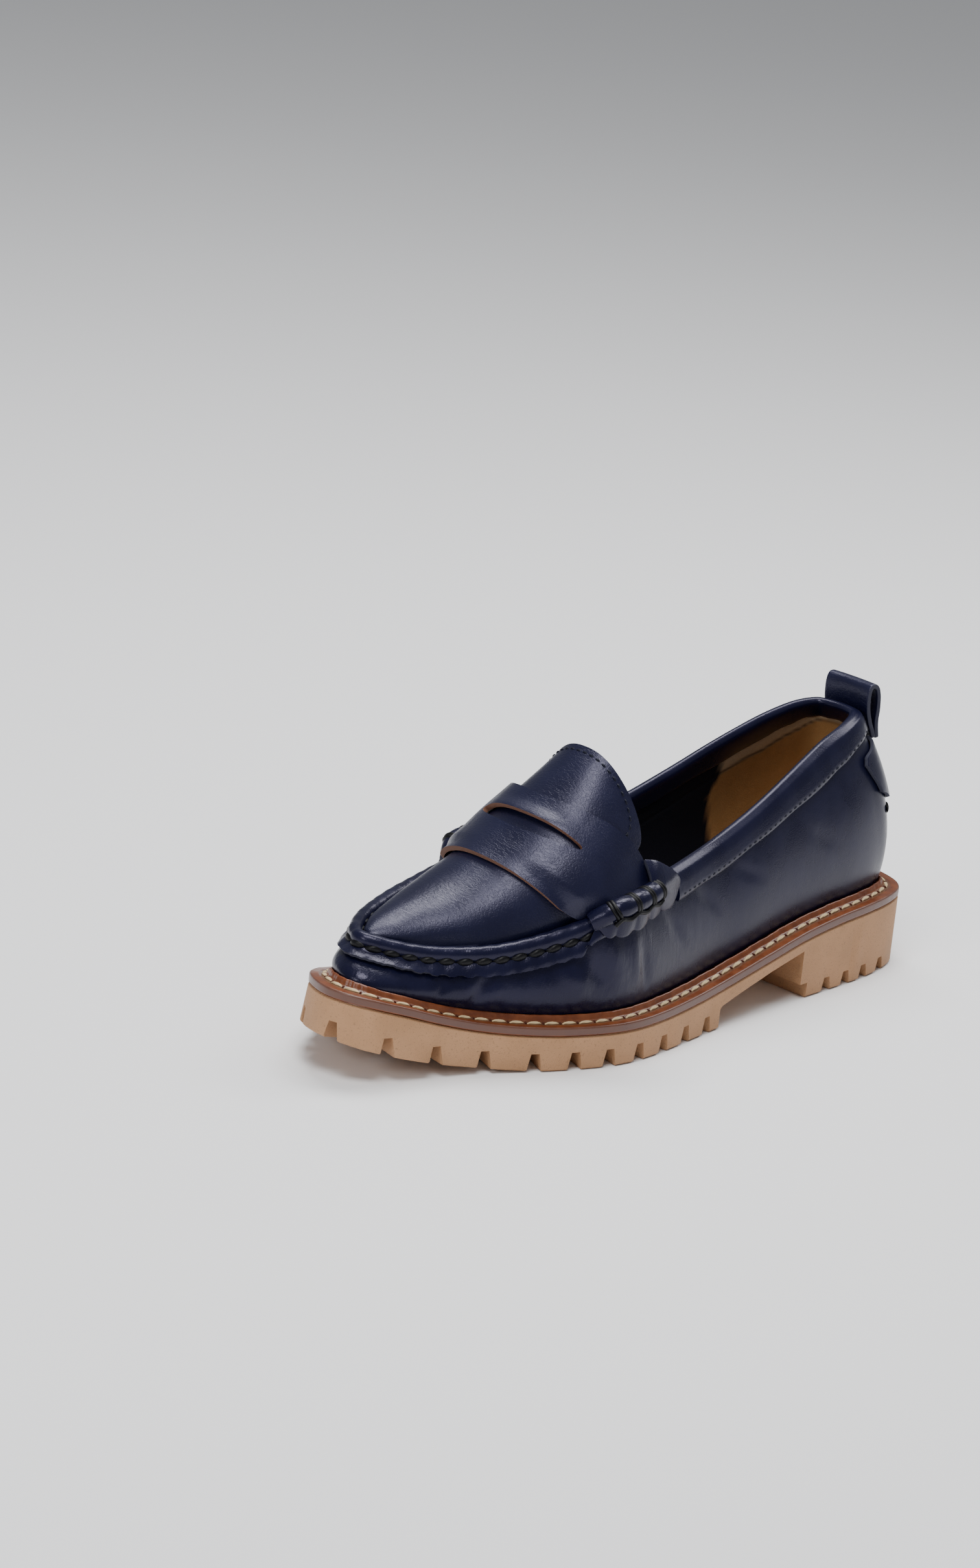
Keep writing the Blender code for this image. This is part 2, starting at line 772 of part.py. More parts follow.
def build_tongue(leather):
    """Tongue: the plug's leather runs on under the saddle and ends in a rounded top."""
    start = TONGUE_SHOULDER
    stations = list(np.linspace(THROAT - 0.006, start, 3))
    stations += list(start - (start - TONGUE_END) * np.sin(np.linspace(0, math.pi / 2, 7)[1:]))
    spread = arc_spread(11)
    rows = []
    for share in stations:
        fall = min(max((start - share) / (start - TONGUE_END), 0), 0.97)
        reach = TONGUE_REACH * (1 - fall ** 2.6) ** (1 / 2.6)
        row = np.full(len(spread), float(seam_row(share)))
        rows.append((instep_point(row, spread * reach), instep_normal(row, spread * reach)))
    rows = [(points - normals * (TONGUE_THICKNESS + CLEARANCE), normals) for points, normals in rows]
    return sheet("tongue", rows, leather, TONGUE_THICKNESS)


def build_strap(leather):
    """Saddle strap across the instep, with its lens-shaped slot."""
    spread = arc_spread(13, STRAP_REACH)
    rear = STRAP_REAR - STRAP_FLARE * spread ** 2
    front = STRAP_FRONT + STRAP_BOW * (1 - spread ** 2)
    rows = []
    for part in np.linspace(0, 1, 6):
        row = seam_row(rear + (front - rear) * part)
        normal = instep_normal(row, spread)
        rows.append((instep_point(row, spread) + normal * CLEARANCE, normal))
    strap = sheet("saddle_strap", rows, leather, STRAP_THICKNESS)
    cutter = Mesh()
    lens = []
    for angle in np.linspace(0, 2 * math.pi, 24, endpoint=False):
        across = SLOT_HALF_SPAN * math.cos(angle) + 0.02
        gap = SLOT_HALF_GAP * math.sin(angle)
        bow = 0.010 * (across / SLOT_HALF_SPAN) ** 2
        lens.append((float(seam_row(SLOT_CENTRE + gap - bow)), across))
    row = np.array([item[0] for item in lens])
    across = np.array([item[1] for item in lens])
    points = instep_point(row, across)
    normals = instep_normal(row, across)
    low = cutter.add(points - normals * STRAP_THICKNESS * 0.6)
    high = cutter.add(points + normals * STRAP_THICKNESS * 3)
    cutter.strip(low, high)
    half = len(lens) // 2
    for ring in (low, high):
        for i in range(half):
            face = [ring[i], ring[i + 1], ring[-i - 1], ring[-i % len(ring)]]
            if i == 0:
                face = [ring[0], ring[1], ring[-1]]
            if i == half - 1:
                face = [ring[i], ring[i + 1], ring[i + 2]]
            cutter.faces.append(tuple(face))
    slot_cutter = cutter.finish("strap_slot_cutter", leather)
    keep_cutter(slot_cutter)
    difference(strap, slot_cutter)
    return strap


def side_row(share, side):
    row = seam_row(share)
    return row if side > 0 else TURN - row


def near_frame(rows):
    """Top-line points and their outward directions at any row numbers."""
    rows = np.asarray(rows, float)
    step = top_line(rows + 0.05) - top_line(rows - 0.05)
    out = np.stack([-step[:, 1], step[:, 0], np.zeros(len(rows))], axis=1)
    return top_line(rows), out / np.linalg.norm(out, axis=1)[:, None]


def build_roll(name, side, leather):
    """Rolled end of the saddle beside the seam, drawn in by its cords into four swells."""
    count = 17
    shares = np.linspace(ROLL_REAR, ROLL_FRONT, count)
    rows = np.array([float(side_row(share, side)) for share in shares])
    top, out = near_frame(rows)
    centre = top + out * ROLL_RADIUS * 1.28 + UP * ROLL_RADIUS * 0.45
    phase = np.linspace(0, 4, count)
    radius = ROLL_RADIUS * (0.74 + 0.26 * np.abs(np.sin(math.pi * phase)) ** 0.6)
    radius[0] = radius[-1] = ROLL_RADIUS * 0.62
    step = np.gradient(centre, axis=0)
    step /= np.linalg.norm(step, axis=1)[:, None]
    body = Mesh()
    rings = []
    for place_, forward, size in zip(centre, step, radius):
        sideways = np.cross(forward, UP)
        sideways /= np.linalg.norm(sideways)
        lift = np.cross(sideways, forward)
        angles = np.linspace(0, 2 * math.pi, 10, endpoint=False)
        rings.append(body.add([place_ + size * (math.cos(a) * sideways + math.sin(a) * lift)
                               for a in angles]))
    for a, b in zip(rings, rings[1:]):
        body.strip(a, b)
    body.faces.append(tuple(rings[0]))
    body.faces.append(tuple(reversed(rings[-1])))
    return body.finish(name, leather)


def wall_patch(shares, rises, side):
    """Rows of points on the wall's outer face with their outward directions."""
    rows = []
    for rise_row in rises:
        at = np.array([float(side_row(share, side)) for share in shares])
        rise = np.asarray(rise_row, float)
        points = wall_near(at, rise)
        along = wall_near(at + 0.03, rise) - wall_near(at - 0.03, rise)
        upward = wall_near(at, rise + 0.01) - wall_near(at, rise - 0.01)
        normal = np.cross(upward, along)
        normal /= np.linalg.norm(normal, axis=1)[:, None]
        rows.append((points, normal))
    return rows


def wall_near(at, rise):
    """wall_point at any row numbers, with outward directions read from near points."""
    at = np.asarray(at, float)
    rise = np.asarray(rise, float)[:, None]

    def plan(inset_rows):
        step = closed_spline(outline_points(), inset_rows + 0.05)
        step = step - closed_spline(outline_points(), inset_rows - 0.05)
        out = np.stack([-step[:, 1], step[:, 0], np.zeros(len(inset_rows))], axis=1)
        return out / np.linalg.norm(out, axis=1)[:, None]

    out = plan(at)
    foot = closed_spline(outline_points(), at) - out * (LEDGE_WIDTH + CLEARANCE) + UP * CLEARANCE
    top, top_out = near_frame(at)
    across, up = SEAM_ROWS[0][1:]
    shoulder = top + ridge_growth(at) * (top_out * across * RIDGE_WIDTH + UP * up * RIDGE_HEIGHT)
    target = top + (shoulder - top) * ridge_share(at)
    shape = np.sin(math.pi * np.clip(rise, 0, 1) ** SWELL_POWER)
    return foot + (target - foot) * rise + out * swell(at) * shape


def build_tab(name, side, leather):
    """End of the saddle's leather, spread on the wall below the roll."""
    shares = np.linspace(TAB_REAR, TAB_FRONT, 12)
    middle = (TAB_REAR + TAB_FRONT) / 2
    reach = (TAB_FRONT - TAB_REAR) / 2
    rises = []
    for k in np.linspace(0, 1, 5):
        low = [0.72 + 0.09 * abs((s - middle) / reach) ** 3 for s in shares]
        high = [0.93 - 0.03 * abs((s - middle) / reach) ** 3 for s in shares]
        rises.append([a + (b - a) * k for a, b in zip(low, high)])
    rows = wall_patch(shares, rises, side)
    return sheet(name, rows, leather, TAB_THICKNESS)


def build_binding(leather):
    """Soft rolled binding that wraps the collar's edge from tab to tab round the heel."""
    fine = columns(UPPER_COLUMNS)
    limit = float(seam_row(BINDING_FRONT))
    side = [r for r in fine[:UPPER_COLUMNS] if r < limit]
    at = np.array([-r for r in side[:0:-1]] + side)
    at = at % TURN
    top, out = near_frame(at)
    height = top[:, 2] - closed_spline(outline_points(), at)[:, 2]
    drop = 1 - BINDING_DEPTH / height
    down = wall_near(at, drop) - top
    down /= np.linalg.norm(down, axis=1)[:, None]
    along = near_along(at)
    normal = np.cross(down, along)
    normal *= np.sign((normal * out).sum(axis=1))[:, None]
    normal /= np.linalg.norm(normal, axis=1)[:, None]
    lining = wall_near(at, np.full(len(at), INNER_ROWS[-1]))
    skin, depth = CLEARANCE, BINDING_DEPTH
    thick = skin + BINDING_SWELL
    inside = WALL + 2 * CLEARANCE
    profile = (
        # out from the wall's face, down from its edge
        (skin, depth),
        (thick, depth * 0.90),
        (thick * 1.22, depth * 0.46),
        (thick, depth * 0.06),
        (-0.5 * WALL, -depth * 0.18),
        (-inside - BINDING_SWELL * 0.5, depth * 0.08),
        (-inside - BINDING_SWELL * 0.6, depth * 0.50),
        (-inside - BINDING_SWELL * 0.5, depth * 0.92),
        (-inside - 0.0002, depth * 0.92),
        (-inside, -skin),
        (skin * 1.5, -skin),
        (skin, depth * 0.30),
        (skin, depth * 0.64),
    )
    body = Mesh()
    rows = []
    for across, fall in profile:
        line = top - UP * fall + out * across
        if fall > 0 and across > 0:
            line = wall_near(at, 1 - fall / height) + normal * across
        if fall > 0 and across < 0:
            share = (fall / (height * (1 - INNER_ROWS[-1])))[:, None]
            line = top + (lining - top) * share + out * across
        rows.append(body.add(line))
    for a, b in zip(rows, rows[1:] + rows[:1]):
        body.strip(a, b, closed=False)
    caps = ((0, 1, 12), (1, 2, 11, 12), (2, 3, 10, 11), (3, 4, 10), (4, 9, 10), (4, 5, 9),
            (5, 6, 8, 9), (6, 7, 8))
    for end in (0, -1):
        for cap in caps:
            body.faces.append(tuple(rows[k][end] for k in cap))
    return body.finish("collar_binding", leather)


def near_along(at):
    step = top_line(at + 0.05) - top_line(at - 0.05)
    return step / np.linalg.norm(step, axis=1)[:, None]


def build_patch(leather):
    """Shield on the heel's back, under the ends of the pull loop."""
    spread = np.linspace(-1, 1, 11)
    rows = []
    for rise, share in PATCH_ROWS:
        probe = wall_near(np.linspace(0, 4, 120), np.full(120, rise))
        row = np.interp(PATCH_HALF_WIDTH * share, probe[:, 0], np.linspace(0, 4, 120))
        at = (spread * row) % TURN
        rise_row = np.full(len(spread), rise)
        points = wall_near(at, rise_row)
        along = wall_near(at + 0.03, rise_row) - wall_near(at - 0.03, rise_row)
        upward = wall_near(at, rise_row + 0.01) - wall_near(at, rise_row - 0.01)
        normal = np.cross(upward, along)
        normal /= np.linalg.norm(normal, axis=1)[:, None]
        normal *= np.sign(normal[:, 1:2])
        rows.append((points + normal * CLEARANCE, normal))
    return sheet("heel_patch", rows, leather, PATCH_THICKNESS)


def build_pull_loop(leather):
    """Folded loop that stands behind the collar at the heel, with both its ends on the patch."""
    top = top_line(np.array([0.0]))[0]
    path = np.array([(top[1] + LOOP_RISE * r[0], top[2] + LOOP_RISE * r[1]) for r in LOOP_PATH])
    step = np.gradient(path, axis=0)
    away = np.stack([-step[:, 1], step[:, 0]], axis=1)
    away /= np.linalg.norm(away, axis=1)[:, None]
    spread = np.linspace(-1, 1, 7)
    curve = [LOOP_WIDTH * row[2] for row in LOOP_PATH]
    body = Mesh()
    skins = []
    for line in (path, path - away * LOOP_THICKNESS):
        skins.append([body.add([(x * LOOP_WIDTH / 2, y - k * x * x, z) for x in spread])
                      for (y, z), k in zip(line, curve)])
    for rows in skins:
        for low, high in zip(rows, rows[1:]):
            body.strip(low, high, closed=False)
    for end in (0, -1):
        body.strip(skins[0][end], skins[1][end], closed=False)
        body.strip([row[end] for row in skins[0]], [row[end] for row in skins[1]], closed=False)
    return body.finish("pull_loop", leather)


remove_everything()
SHOE = bpy.data.collections.new("lug_sole_loafer")
CUTTERS = bpy.data.collections.new("cutters")
bpy.context.scene.collection.children.link(SHOE)
bpy.context.scene.collection.children.link(CUTTERS)
CENTRE = bpy.data.objects.new("shoe_centre", None)
SHOE.objects.link(CENTRE)

SPAN = tread_loop(columns(SOLE_COLUMNS))
CENTRE.location = (-(SPAN[:, 0].max() + SPAN[:, 0].min()) / 2,
                   -(SPAN[:, 1].max() + SPAN[:, 1].min()) / 2, 0)

RUBBER = make_material("rubber")
WELT_LEATHER = make_material("welt_leather")
FOOTBED = make_material("footbed")
NAVY = make_material("navy_leather")

build_outsole(RUBBER)
build_welt(WELT_LEATHER)
build_insole(FOOTBED)
build_upper(NAVY)
build_tongue(NAVY)
build_strap(NAVY)
build_roll("roll_outer", 1, NAVY)
build_roll("roll_inner", -1, NAVY)
build_tab("tab_outer", 1, NAVY)
build_tab("tab_inner", -1, NAVY)
build_binding(NAVY)
build_patch(NAVY)
build_pull_loop(NAVY)
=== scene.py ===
"""Chunky lug sole loafer for the left foot, dressed over its solid model.

Metres, +Z up. The toe points along -Y, the heel along +Y, and the outer side of the foot is +X.
"""
import math

import bpy
import numpy as np
from mathutils import Matrix, Vector


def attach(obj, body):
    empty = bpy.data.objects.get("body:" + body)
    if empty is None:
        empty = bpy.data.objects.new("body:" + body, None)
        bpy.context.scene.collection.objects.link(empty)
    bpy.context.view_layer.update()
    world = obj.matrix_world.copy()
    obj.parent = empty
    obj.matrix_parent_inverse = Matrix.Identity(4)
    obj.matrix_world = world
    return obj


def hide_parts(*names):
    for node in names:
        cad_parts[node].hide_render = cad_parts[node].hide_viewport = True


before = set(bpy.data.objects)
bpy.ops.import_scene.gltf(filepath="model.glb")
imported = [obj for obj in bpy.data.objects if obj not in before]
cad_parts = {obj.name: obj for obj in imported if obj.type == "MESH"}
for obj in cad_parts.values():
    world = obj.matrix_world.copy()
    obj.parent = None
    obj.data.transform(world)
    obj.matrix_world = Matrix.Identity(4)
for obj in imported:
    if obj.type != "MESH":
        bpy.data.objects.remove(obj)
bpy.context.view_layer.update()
bpy.ops.object.select_all(action="DESELECT")


# Camera: a long lens from the toe's outer side, tilted a little, with the shoe low in a tall frame

LENS_PIXELS = 8707.0
IMAGE = (1512, 2420)
AIM = (942.7, 1339.0)
camera_data = bpy.data.cameras.new("long_lens")
camera = bpy.data.objects.new("camera", camera_data)
bpy.context.collection.objects.link(camera)
bpy.context.scene.camera = camera
camera_data.sensor_fit = "AUTO"
camera_data.sensor_width = 36.0
camera_data.lens = LENS_PIXELS / IMAGE[1] * 36.0
camera_data.clip_start = 0.1
camera_data.clip_end = 20.0
back = Vector((0.61749, -0.72003, 0.31664))
level = Vector((0.75909, 0.65098, 0.0))
rise = Vector((-0.20613, 0.24036, 0.94855))
roll = math.radians(-6.59)
sideways = level * math.cos(roll) - rise * math.sin(roll)
upward = level * math.sin(roll) + rise * math.cos(roll)
aim = -back * LENS_PIXELS + sideways * (IMAGE[0] / 2 - AIM[0]) + upward * (AIM[1] - IMAGE[1] / 2)
aim.normalize()
across = aim.cross(upward).normalized()
over = across.cross(aim)
turned = Matrix((across, over, -aim)).transposed().to_4x4()
camera.matrix_world = Matrix.Translation((1.19070, -1.38894, 0.65981)) @ turned


# Studio: a pale paper floor under two big soft boxes above, with weaker ones behind and at the toe

bpy.ops.mesh.primitive_plane_add(size=6.0, location=(0, 0, -0.0002))
floor = bpy.context.object
floor.name = "paper_floor"
paper = bpy.data.materials.new("studio_paper")
paper.use_nodes = True
paper.node_tree.nodes["Principled BSDF"].inputs["Base Color"].default_value = (0.86, 0.86, 0.87, 1)
paper.node_tree.nodes["Principled BSDF"].inputs["Roughness"].default_value = 0.9
paper.node_tree.nodes["Principled BSDF"].inputs["Specular IOR Level"].default_value = 0.1
floor.data.materials.append(paper)

world = bpy.data.worlds.new("studio")
bpy.context.scene.world = world
world.use_nodes = True
world.node_tree.nodes["Background"].inputs["Color"].default_value = (0.95, 0.97, 1.0, 1)
world.node_tree.nodes["Background"].inputs["Strength"].default_value = 0.30


def soft_box(name, place, size, power):
    """A square soft light that faces the middle of the shoe."""
    light = bpy.data.lights.new(name, "AREA")
    light.shape = "RECTANGLE"
    light.size, light.size_y = size
    light.energy = power
    lamp = bpy.data.objects.new(name, light)
    bpy.context.collection.objects.link(lamp)
    lamp.location = place
    lamp.rotation_euler = (Vector((0, 0, 0.04)) - Vector(place)).to_track_quat("-Z", "Y").to_euler()


soft_box("key_box", (-0.25, 0.30, 1.10), (0.80, 0.40), 12)
soft_box("top_box", (0.22, -0.42, 1.05), (0.50, 0.40), 9)
soft_box("rear_box", (0.15, 0.85, 0.85), (0.45, 0.35), 4)
soft_box("toe_box", (0.10, -1.10, 0.55), (0.30, 0.25), 3)


# Rubber sole unit: one moulding of dull tan crepe-like rubber, with wedge lugs round its edge and a
# low heel under the shank. It is glued to the underside of the welt.

def choose(piece):
    bpy.ops.object.select_all(action="DESELECT")
    piece.select_set(True)
    bpy.context.view_layer.objects.active = piece


def copy_of(node, name):
    """A piece of its own in the shape of a solid, with its loose triangles merged into one skin."""
    piece = bpy.data.objects.new(name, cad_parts[node].data.copy())
    bpy.context.collection.objects.link(piece)
    choose(piece)
    bpy.ops.object.mode_set(mode="EDIT")
    bpy.ops.mesh.select_all(action="SELECT")
    bpy.ops.mesh.remove_doubles(threshold=0.00002)
    bpy.ops.mesh.tris_convert_to_quads(face_threshold=0.7, shape_threshold=1.2)
    bpy.ops.mesh.normals_make_consistent(inside=False)
    bpy.ops.object.mode_set(mode="OBJECT")
    return piece


def modify(piece, kind, **settings):
    """Adds one modifier and applies it."""
    choose(piece)
    change = piece.modifiers.new(kind.lower(), kind)
    for key, value in settings.items():
        setattr(change, key, value)
    bpy.ops.object.modifier_apply(modifier=change.name)


def settle(piece, node, angle):
    """Smooths a finished piece and gives it its place on the shoe."""
    choose(piece)
    bpy.ops.object.shade_smooth_by_angle(angle=math.radians(angle))
    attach(piece, "root")
    if node:
        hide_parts(node)


def dress(piece, material, node=None, angle=40):
    """Gives a piece one finish all over and settles it."""
    piece.data.materials.clear()
    piece.data.materials.append(material)
    settle(piece, node, angle)


def group(name, outputs):
    """An empty node group with float or colour outputs, and its two end nodes."""
    tree = bpy.data.node_groups.new(name, "ShaderNodeTree")
    for title, kind in outputs:
        tree.interface.new_socket(title, in_out="OUTPUT", socket_type=kind)
    return tree, tree.nodes.new("NodeGroupOutput")


def noise(tree, vector, scale, detail=3.0, roughness=0.5):
    node = tree.nodes.new("ShaderNodeTexNoise")
    node.inputs["Scale"].default_value = scale
    node.inputs["Detail"].default_value = detail
    node.inputs["Roughness"].default_value = roughness
    tree.links.new(vector, node.inputs["Vector"])
    return node.outputs["Fac"]


def sums(tree, kind, a, b):
    """One Math node, fed by sockets or plain numbers."""
    node = tree.nodes.new("ShaderNodeMath")
    node.operation = kind
    for socket, value in zip(node.inputs, (a, b)):
        if isinstance(value, (int, float)):
            socket.default_value = value
        else:
            tree.links.new(value, socket)
    return node.outputs[0]


def spread(tree, value, low, high, to_low=0.0, to_high=1.0):
    """A value drawn out from one range to another."""
    node = tree.nodes.new("ShaderNodeMapRange")
    node.interpolation_type = "SMOOTHSTEP"
    tree.links.new(value, node.inputs["Value"])
    for title, number in zip(("From Min", "From Max", "To Min", "To Max"), (low, high, to_low, to_high)):
        node.inputs[title].default_value = number
    return node.outputs["Result"]


def mixed(tree, share, first, second):
    """A colour between two, which are colours or sockets."""
    node = tree.nodes.new("ShaderNodeMix")
    node.data_type = "RGBA"
    if isinstance(share, (int, float)):
        node.inputs[0].default_value = share
    else:
        tree.links.new(share, node.inputs[0])
    for socket, colour in ((node.inputs[6], first), (node.inputs[7], second)):
        if isinstance(colour, tuple):
            socket.default_value = (*colour, 1)
        else:
            tree.links.new(colour, socket)
    return node.outputs[2]


def finish_of(name, effect, roughness, bump=0.3, depth=0.0002, coat=0.0, base=None, specular=None,
              tint=None):
    """A material that takes its colour, roughness and height from an effect's group."""
    material = bpy.data.materials.new(name)
    material.use_nodes = True
    tree = material.node_tree
    shader = tree.nodes["Principled BSDF"]
    source = tree.nodes.new("ShaderNodeGroup")
    source.node_tree = effect
    shader.inputs["Roughness"].default_value = roughness
    shader.inputs["Coat Weight"].default_value = coat
    shader.inputs["Coat Roughness"].default_value = 0.12
    if base:
        shader.inputs["Base Color"].default_value = (*base, 1)
    if specular:
        shader.inputs["Specular IOR Level"].default_value = specular
    if tint:
        shader.inputs["Specular Tint"].default_value = (*tint, 1)
    for title, socket in (("Colour", "Base Color"), ("Roughness", "Roughness")):
        if title in source.outputs:
            tree.links.new(source.outputs[title], shader.inputs[socket])
    if "Height" in source.outputs:
        relief = tree.nodes.new("ShaderNodeBump")
        relief.inputs["Strength"].default_value = bump
        relief.inputs["Distance"].default_value = depth
        tree.links.new(source.outputs["Height"], relief.inputs["Height"])
        tree.links.new(relief.outputs["Normal"], shader.inputs["Normal"])
        if coat:
            tree.links.new(relief.outputs["Normal"], shader.inputs["Coat Normal"])
    return material


COLOUR, VALUE = "NodeSocketColor", "NodeSocketFloat"

crumb, end = group("rubber_crumb", (("Colour", COLOUR), ("Roughness", VALUE), ("Height", VALUE)))
where = crumb.nodes.new("ShaderNodeTexCoord").outputs["Object"]
fine = noise(crumb, where, 2600, 2.0)
patches = noise(crumb, where, 60, 4.0)
flecks = spread(crumb, noise(crumb, where, 1500, 1.0), 0.60, 0.72)
tan = mixed(crumb, spread(crumb, patches, 0.3, 0.7), (0.390, 0.210, 0.100), (0.455, 0.252, 0.130))
tan = mixed(crumb, sums(crumb, "MULTIPLY", flecks, 0.55), tan, (0.25, 0.13, 0.065))
crumb.links.new(tan, end.inputs["Colour"])
crumb.links.new(spread(crumb, patches, 0.2, 0.8, 0.62, 0.78), end.inputs["Roughness"])
crumb.links.new(sums(crumb, "ADD", fine, sums(crumb, "MULTIPLY", patches, 0.6)), end.inputs["Height"])
RUBBER = finish_of("tan_rubber", crumb, 0.7, bump=0.60, depth=0.00040)

sole = copy_of("outsole", "rubber_sole")
modify(sole, "BEVEL", width=0.00045, segments=2, limit_method="ANGLE", angle_limit=math.radians(35))
dress(sole, RUBBER, "outsole", 30)


# Storm welt: a strip of waxed brown leather round the sole, with a raised rib against the upper. It
# is sewn to the sole through a shallow channel by thick cream thread.

SOLE_LENGTH = 0.2667
BALL_WIDTH = 0.0938
HEEL_STACK = 0.0283
CENTRE = (0.0015434, 0.0009000)
CLEARANCE = 0.0003
WALL = 0.0020
LEDGE_WIDTH = 0.0081
STITCH_PITCH = 0.00627
UP = np.array([0.0, 0.0, 1.0])

# Plan of the sole, heel to toe: share of the length from the heel, then the outer and the inner
# edge as shares of the ball's width, and the welt's height as a share of the heel's stack
OUTLINE = (
    # along, outer, inner, welt height
    (0.000, 0.000, 0.000, 1.00),
    (0.006, 0.155, -0.155, 1.00),
    (0.026, 0.256, -0.256, 1.00),
    (0.066, 0.309, -0.309, 0.995),
    (0.122, 0.339, -0.339, 0.985),
    (0.178, 0.352, -0.352, 0.96),
    (0.253, 0.366, -0.354, 0.885),
    (0.333, 0.388, -0.350, 0.765),
    (0.418, 0.408, -0.362, 0.625),
    (0.491, 0.440, -0.405, 0.560),
    (0.564, 0.472, -0.465, 0.535),
    (0.621, 0.483, -0.502, 0.530),
    (0.670, 0.463, -0.516, 0.532),
    (0.730, 0.402, -0.503, 0.542),
    (0.784, 0.325, -0.470, 0.572),
    (0.834, 0.255, -0.423, 0.640),
    (0.887, 0.208, -0.360, 0.775),
    (0.926, 0.176, -0.303, 0.895),
    (0.967, 0.130, -0.222, 1.005),
    (0.991, 0.062, -0.125, 1.055),
    (1.000, -0.028, -0.028, 1.070),
)
ROWS = len(OUTLINE) - 1
TURN = 2 * ROWS


def between(a, b, c, d, f):
    """Smooth curve from b to c, whose neighbours are a and d."""
    return 0.5 * (2 * b + (c - a) * f + (2 * a - 5 * b + 4 * c - d) * f ** 2
                  + (3 * b - a - 3 * c + d) * f ** 3)


def closed_spline(points, at):
    """Smooth closed curve through the points, read at row numbers."""
    points = np.asarray(points, float)
    count = len(points)
    at = np.asarray(at, float)
    first = np.floor(at).astype(int)
    f = (at - first)[:, None]
    a, b, c, d = (points[(first + k) % count] for k in (-1, 0, 1, 2))
    return between(a, b, c, d, f)


def around(outer, inner):
    """Rows of the outer side, heel to toe, then of the inner side back to the heel."""
    return np.array(list(outer) + list(inner[-2:0:-1]))


def heel_y(share):
    return CENTRE[1] + SOLE_LENGTH * (0.5 - share)


OUTLINE_POINTS = around(
    [(CENTRE[0] + BALL_WIDTH * r[1], heel_y(r[0]), HEEL_STACK * r[3]) for r in OUTLINE],
    [(CENTRE[0] + BALL_WIDTH * r[2], heel_y(r[0]), HEEL_STACK * r[3]) for r in OUTLINE])


def plan_frame(curve, rows):
    """Points of a closed curve at row numbers, with their outward directions in plan."""
    rows = np.asarray(rows, float)
    step = curve(rows + 0.05) - curve(rows - 0.05)
    out = np.stack([-step[:, 1], step[:, 0], np.zeros(len(rows))], axis=1)
    return curve(rows), out / np.linalg.norm(out, axis=1)[:, None]


def sole_edge(rows):
    return closed_spline(OUTLINE_POINTS, rows)


def lofted(name, along, across_count, place, round_along=False, round_across=False):
    """A grid laid on a surface that is given by shares along and across, its map in metres."""
    bpy.ops.object.select_all(action="DESELECT")
    bpy.ops.mesh.primitive_grid_add(x_subdivisions=along, y_subdivisions=across_count, size=2)
    piece = bpy.context.object
    piece.name = name
    mesh = piece.data
    flat = np.empty(len(mesh.vertices) * 3)
    mesh.vertices.foreach_get("co", flat)
    flat = flat.reshape(-1, 3)
    s, t = (flat[:, 0] + 1) / 2, (flat[:, 1] + 1) / 2
    points = place(s, t)
    i, j = np.rint(s * along).astype(int), np.rint(t * across_count).astype(int)
    table = np.zeros((along + 1, across_count + 1, 3))
    table[i, j] = points
    length = np.zeros((along + 1, across_count + 1))
    length[1:] = np.cumsum(np.linalg.norm(np.diff(table, axis=0), axis=2), axis=0)
    width = np.zeros((along + 1, across_count + 1))
    width[:, 1:] = np.cumsum(np.linalg.norm(np.diff(table, axis=1), axis=2), axis=1)
    mesh.vertices.foreach_set("co", points.ravel())
    corner = np.empty(len(mesh.loops), int)
    mesh.loops.foreach_get("vertex_index", corner)
    middle = (across_count + 1) // 2
    chart = np.stack([length[i, middle], width.mean(axis=0)[j]], axis=1)[corner]
    mesh.uv_layers.active.data.foreach_set("uv", chart.ravel())
    if round_along or round_across:
        bpy.ops.object.mode_set(mode="EDIT")
        bpy.ops.mesh.select_all(action="SELECT")
        bpy.ops.mesh.remove_doubles(threshold=0.000001)
        bpy.ops.object.mode_set(mode="OBJECT")
    return piece


def face_out(piece):
    """Turns a closed skin's faces outwards."""
    choose(piece)
    bpy.ops.object.mode_set(mode="EDIT")
    bpy.ops.mesh.select_all(action="SELECT")
    bpy.ops.mesh.normals_make_consistent(inside=False)
    bpy.ops.object.mode_set(mode="OBJECT")


def reach_along(points):
    return np.concatenate([[0], np.cumsum(np.linalg.norm(np.diff(points, axis=0), axis=1))])


def evenly(line, pitch, start=0.0):
    """Evenly spaced places on a fine line: fractional indices, a pitch apart."""
    reach = reach_along(line)
    count = max(int(round((reach[-1] - 2 * start) / pitch)), 1)
    marks = start + (np.arange(count) + 0.5) * (reach[-1] - 2 * start) / count
    return np.interp(marks, reach, np.arange(len(line)))


def at_index(line, places):
    return np.stack([np.interp(places, np.arange(len(line)), line[:, k]) for k in range(3)], axis=1)


def unit(vectors):
    return vectors / np.linalg.norm(vectors, axis=1)[:, None]


